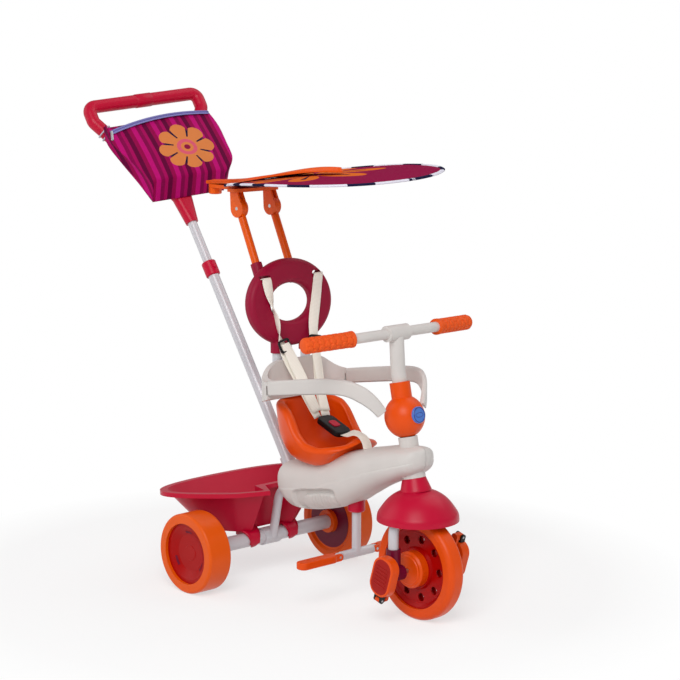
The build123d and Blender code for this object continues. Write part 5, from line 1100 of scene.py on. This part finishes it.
# ------------------------------------------------------------------ trims
class TRIKE_OT_wheel_trims(bpy.types.Operator):
    """Fit the plum inner dishes of the rear wheels, and lay dark plum strips on the outer covers as painted
    shade in their slots
    """

    bl_idname = "trike.wheel_trims"
    bl_label = "Wheel covers"

    def execute(self, context):
        web_start, skin, slot_lift = 0.1895, 0.0008, 0.0007
        for side, hand in SIDES:
            label = hand[0]
            hub = middle_of("rear_wheel_" + label)
            tree = facing_tree("rear_wheel_" + label)
            profile = []
            for radius in [0.026 + 0.002 * step for step in range(20)]:
                start = hub + Vector((radius, side * 0.12, 0))
                hit = tree.ray_cast(start, Vector((0, side, 0)))[0]
                if hit is not None and abs(hit.y) >= web_start:
                    profile.append((radius, abs(hit.y) - skin))
            if len(profile) > 3:
                dish = turned_dish("wheel_dish_" + label, hub, Vector((0, side, 0)), profile)
                dress(dish, "rear_wheel_" + hand, finish_of("plum"))
            cover = facing_tree("rear_hub_" + label)
            # painted shade: the slots are not cut; thin plum strips laid just above each cover stand in for
            # the shade inside them
            for number in range(3):
                middle_angle = math.radians(90 + 120 * number)
                left, right = [], []
                for step in range(9):
                    angle = middle_angle + math.radians(-13 + 26 * step / 8)
                    for line, radius in ((left, 0.0455), (right, 0.0500)):
                        place = hub + Vector((math.cos(angle) * radius, side * 0.40,
                                              math.sin(angle) * radius))
                        hit = cover.ray_cast(place, Vector((0, -side, 0)))[0]
                        line.append((hit if hit else place) + Vector((0, side * slot_lift, 0)))
                slot = grid_object("hub_slot_shade_%s_%d" % (label, number), [left, right])
                dress(slot, "rear_wheel_" + hand, finish_of("plum"))
        return {"FINISHED"}


class TRIKE_OT_canopy_arm(bpy.types.Operator):
    """Swell the canopy's top arm into a long rounded spine that presses on the cloth"""

    bl_idname = "trike.canopy_arm"
    bl_label = "Canopy arm"

    def execute(self, context):
        tree = facing_tree("canopy_arm")
        low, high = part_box("canopy_arm")
        rows = []
        steps = 44
        for step in range(steps + 1):
            share = step / steps
            x = low.x + 0.012 + (high.x - low.x - 0.016) * share
            half = 0.020 + 0.012 * math.sin(math.pi * min(1.0, share * 1.3)) - 0.018 * share ** 2
            height = 0.003 + 0.006 * smooth_step(0.30, 0.95, share)
            hit = tree.ray_cast(Vector((x, 0.0005, 1.2)), DOWN)[0]
            if hit is None:
                continue
            row = []
            for u in [-1 + column / 6 for column in range(13)]:
                rise = height * (1 - u * u) ** 0.6 - 0.0015 * abs(u)
                row.append(Vector((x, half * u, hit.z - 0.001 + rise)))
            rows.append(row)
        # the blunt end drops straight to the edge's height
        end_z = min(point.z for point in rows[-1])
        rows.append([Vector((point.x + 0.002, point.y * 0.96, end_z)) for point in rows[-1]])
        spine = grid_object("canopy_arm_spine", rows)
        dress(spine, "canopy", finish_of("tangerine"))
        return {"FINISHED"}


class TRIKE_OT_small_trims(bpy.types.Operator):
    """Add the badge's rim, the saddles that hold the bucket and the handle's raised band"""

    bl_idname = "trike.small_trims"
    bl_label = "Badge rim, saddles and band"

    def execute(self, context):
        steer = Vector(joints["steering"]["axis"]).normalized()
        if steer.z < 0:
            steer = -steer
        out = Vector((steer.z, 0, -steer.x)).normalized()
        face = max(v.co.dot(out) for v in nodes["steering_badge"].data.vertices)
        centre = middle_of("steering_badge")
        centre += out * (face - centre.dot(out) - 0.0002)
        # the rim is round, and the band inside it is an oval
        for name, radius, thick, tall in (("badge_rim", 0.0158, 0.0013, 1.0),
                                          ("badge_band", 0.0105, 0.0007, 0.45)):
            ring = ring_points(centre, Vector((0, 1, 0)), steer * tall, radius, 48)
            dress(tube(name, ring, thick, 8, True), "steering", finish_of("badge_rim"))

        axle = middle_of("rear_axle_tube")
        radius, from_middle = 0.0172, 0.058
        for side, hand in SIDES:
            rows = []
            for step in range(15):
                share = step / 14
                angle = math.radians(118 - 185 * share)
                half = 0.023 * (1 - share) ** 0.8 + 0.0035
                reach = radius + 0.010 * (1 - share) ** 6
                rows.append([axle + Vector((math.cos(angle) * reach, side * from_middle + half * w,
                                            math.sin(angle) * reach)) for w in (-1, -0.5, 0, 0.5, 1)])
            saddle = grid_object("bucket_saddle_" + hand, rows)
            skin = saddle.modifiers.new("wall", "SOLIDIFY")
            skin.thickness = 0.0025
            dress(saddle, "bucket", finish_of("crimson"))

        origin, across = handle_frame()[:2]
        section = [(0.0158, -0.021), (0.0166, -0.020), (0.0166, 0.020), (0.0158, 0.021)]
        band = turned_dish("handle_band", origin, across, section, 48)
        dress(band, "handle", finish_of("crimson"))
        return {"FINISHED"}


# ------------------------------------------------------------------ stage
class TRIKE_OT_stage(bpy.types.Operator):
    """Set up the pale floor, the soft lamps and the camera"""

    bl_idname = "trike.stage"
    bl_label = "Floor, light and camera"

    def execute(self, context):
        scene = context.scene
        sizes = scene.trike_stage
        scene.view_settings.view_transform = "Standard"
        white = (1.0, 1.0, 1.0, 1.0)
        world = bpy.data.worlds.new("room")
        scene.world = world
        world.use_nodes = True
        tree = world.node_tree
        tree.nodes.clear()
        seen = add(tree, "ShaderNodeLightPath").outputs["Is Camera Ray"]
        even = add(tree, "ShaderNodeBackground", {"Color": white, "Strength": sizes.sky_strength})
        backdrop = add(tree, "ShaderNodeBackground", {"Color": white, "Strength": 1.0})
        mixed = add(tree, "ShaderNodeMixShader", {0: seen, 1: even, 2: backdrop})
        add(tree, "ShaderNodeOutputWorld", {"Surface": mixed})

        edge = 30
        floor = grid_object("floor", [[Vector((x, y, 0.0)) for y in (-edge, edge)] for x in (-edge, edge)])
        # matt near the tricycle, where its shadow falls, and going over to plain white further out
        material, tree = blank_material("plain_pale_floor")
        place = add(tree, "ShaderNodeTexCoord").outputs["Object"]
        reach = add(tree, "ShaderNodeVectorMath", {0: place}, operation="LENGTH")
        away = add(tree, "ShaderNodeMapRange", {"Value": reach, "From Min": 0.35, "From Max": 0.95})
        share = add(tree, "ShaderNodeMath", {0: away, 1: 0.6}, operation="MAXIMUM")
        rays = add(tree, "ShaderNodeLightPath").outputs
        seen = add(tree, "ShaderNodeMath", {0: rays["Is Camera Ray"], 1: rays["Is Glossy Ray"]},
                   operation="MAXIMUM")
        plain = add(tree, "ShaderNodeMath", {0: share, 1: seen}, operation="MULTIPLY")
        matt = add(tree, "ShaderNodeBsdfDiffuse", {"Color": tuple(sizes.floor), "Roughness": 0.5})
        bright = add(tree, "ShaderNodeEmission", {"Color": white, "Strength": 1.0})
        mixed = add(tree, "ShaderNodeMixShader", {0: plain, 1: matt, 2: bright})
        add(tree, "ShaderNodeOutputMaterial", {"Surface": mixed})
        floor.data.materials.append(material)

        def set_up(name, data, place, direction):
            """Stand a lamp or a camera at a place, facing a direction."""
            stand = bpy.data.objects.new(name, data)
            stand.location = place
            stand.rotation_euler = Vector(direction).to_track_quat("-Z", "Y").to_euler()
            scene.collection.objects.link(stand)
            return stand

        lit_place = Vector((0, 0, 0.5))
        for name, power, place, size in (("key", sizes.key_power, (2.2, -2.6, 2.9), 2.2),
                                         ("fill", sizes.fill_power, (-2.4, -2.0, 1.9), 2.5),
                                         ("top", sizes.fill_power, (0.4, 1.8, 3.0), 2.5)):
            lamp = bpy.data.lights.new(name, "AREA")
            lamp.energy = power
            lamp.size = size
            set_up(name, lamp, place, lit_place - Vector(place))
        camera = bpy.data.cameras.new("camera")
        camera.lens = sizes.lens
        camera.sensor_width = 36.0
        scene.camera = set_up("camera", camera, sizes.camera_place, sizes.camera_aim)
        return {"FINISHED"}


class TRIKE_PT_panel(bpy.types.Panel):
    """Lists the pieces that the tricycle is dressed with"""

    bl_idname = "TRIKE_PT_panel"
    bl_label = "Tricycle"
    bl_space_type = "VIEW_3D"
    bl_region_type = "UI"
    bl_category = "Tricycle"

    def draw(self, context):
        for group in (context.scene.trike_stage, context.scene.trike_cloth, context.scene.trike_finish):
            for name in group.bl_rna.properties.keys():
                if name not in ("rna_type", "name"):
                    self.layout.prop(group, name)
        for step in STEPS:
            self.layout.operator(step.bl_idname)


STEPS = (TRIKE_OT_mouldings, TRIKE_OT_canopy, TRIKE_OT_bag, TRIKE_OT_harness, TRIKE_OT_safety_arms,
         TRIKE_OT_seat, TRIKE_OT_grips, TRIKE_OT_body, TRIKE_OT_wheel_trims, TRIKE_OT_canopy_arm,
         TRIKE_OT_small_trims, TRIKE_OT_stage)
GROUPS = {"trike_stage": TrikeStage, "trike_cloth": TrikeCloth, "trike_finish": TrikeFinish}


def register():
    for name, group in GROUPS.items():
        bpy.utils.register_class(group)
        setattr(bpy.types.Scene, name, bpy.props.PointerProperty(type=group))
    for step in STEPS:
        bpy.utils.register_class(step)
    bpy.utils.register_class(TRIKE_PT_panel)


def unregister():
    bpy.utils.unregister_class(TRIKE_PT_panel)
    for step in reversed(STEPS):
        bpy.utils.unregister_class(step)
    for name, group in GROUPS.items():
        delattr(bpy.types.Scene, name)
        bpy.utils.unregister_class(group)


def main():
    """Register the tricycle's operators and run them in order."""
    register()
    for step in STEPS:
        group, name = step.bl_idname.split(".")
        getattr(getattr(bpy.ops, group), name)()


if __name__ == "__main__":
    main()
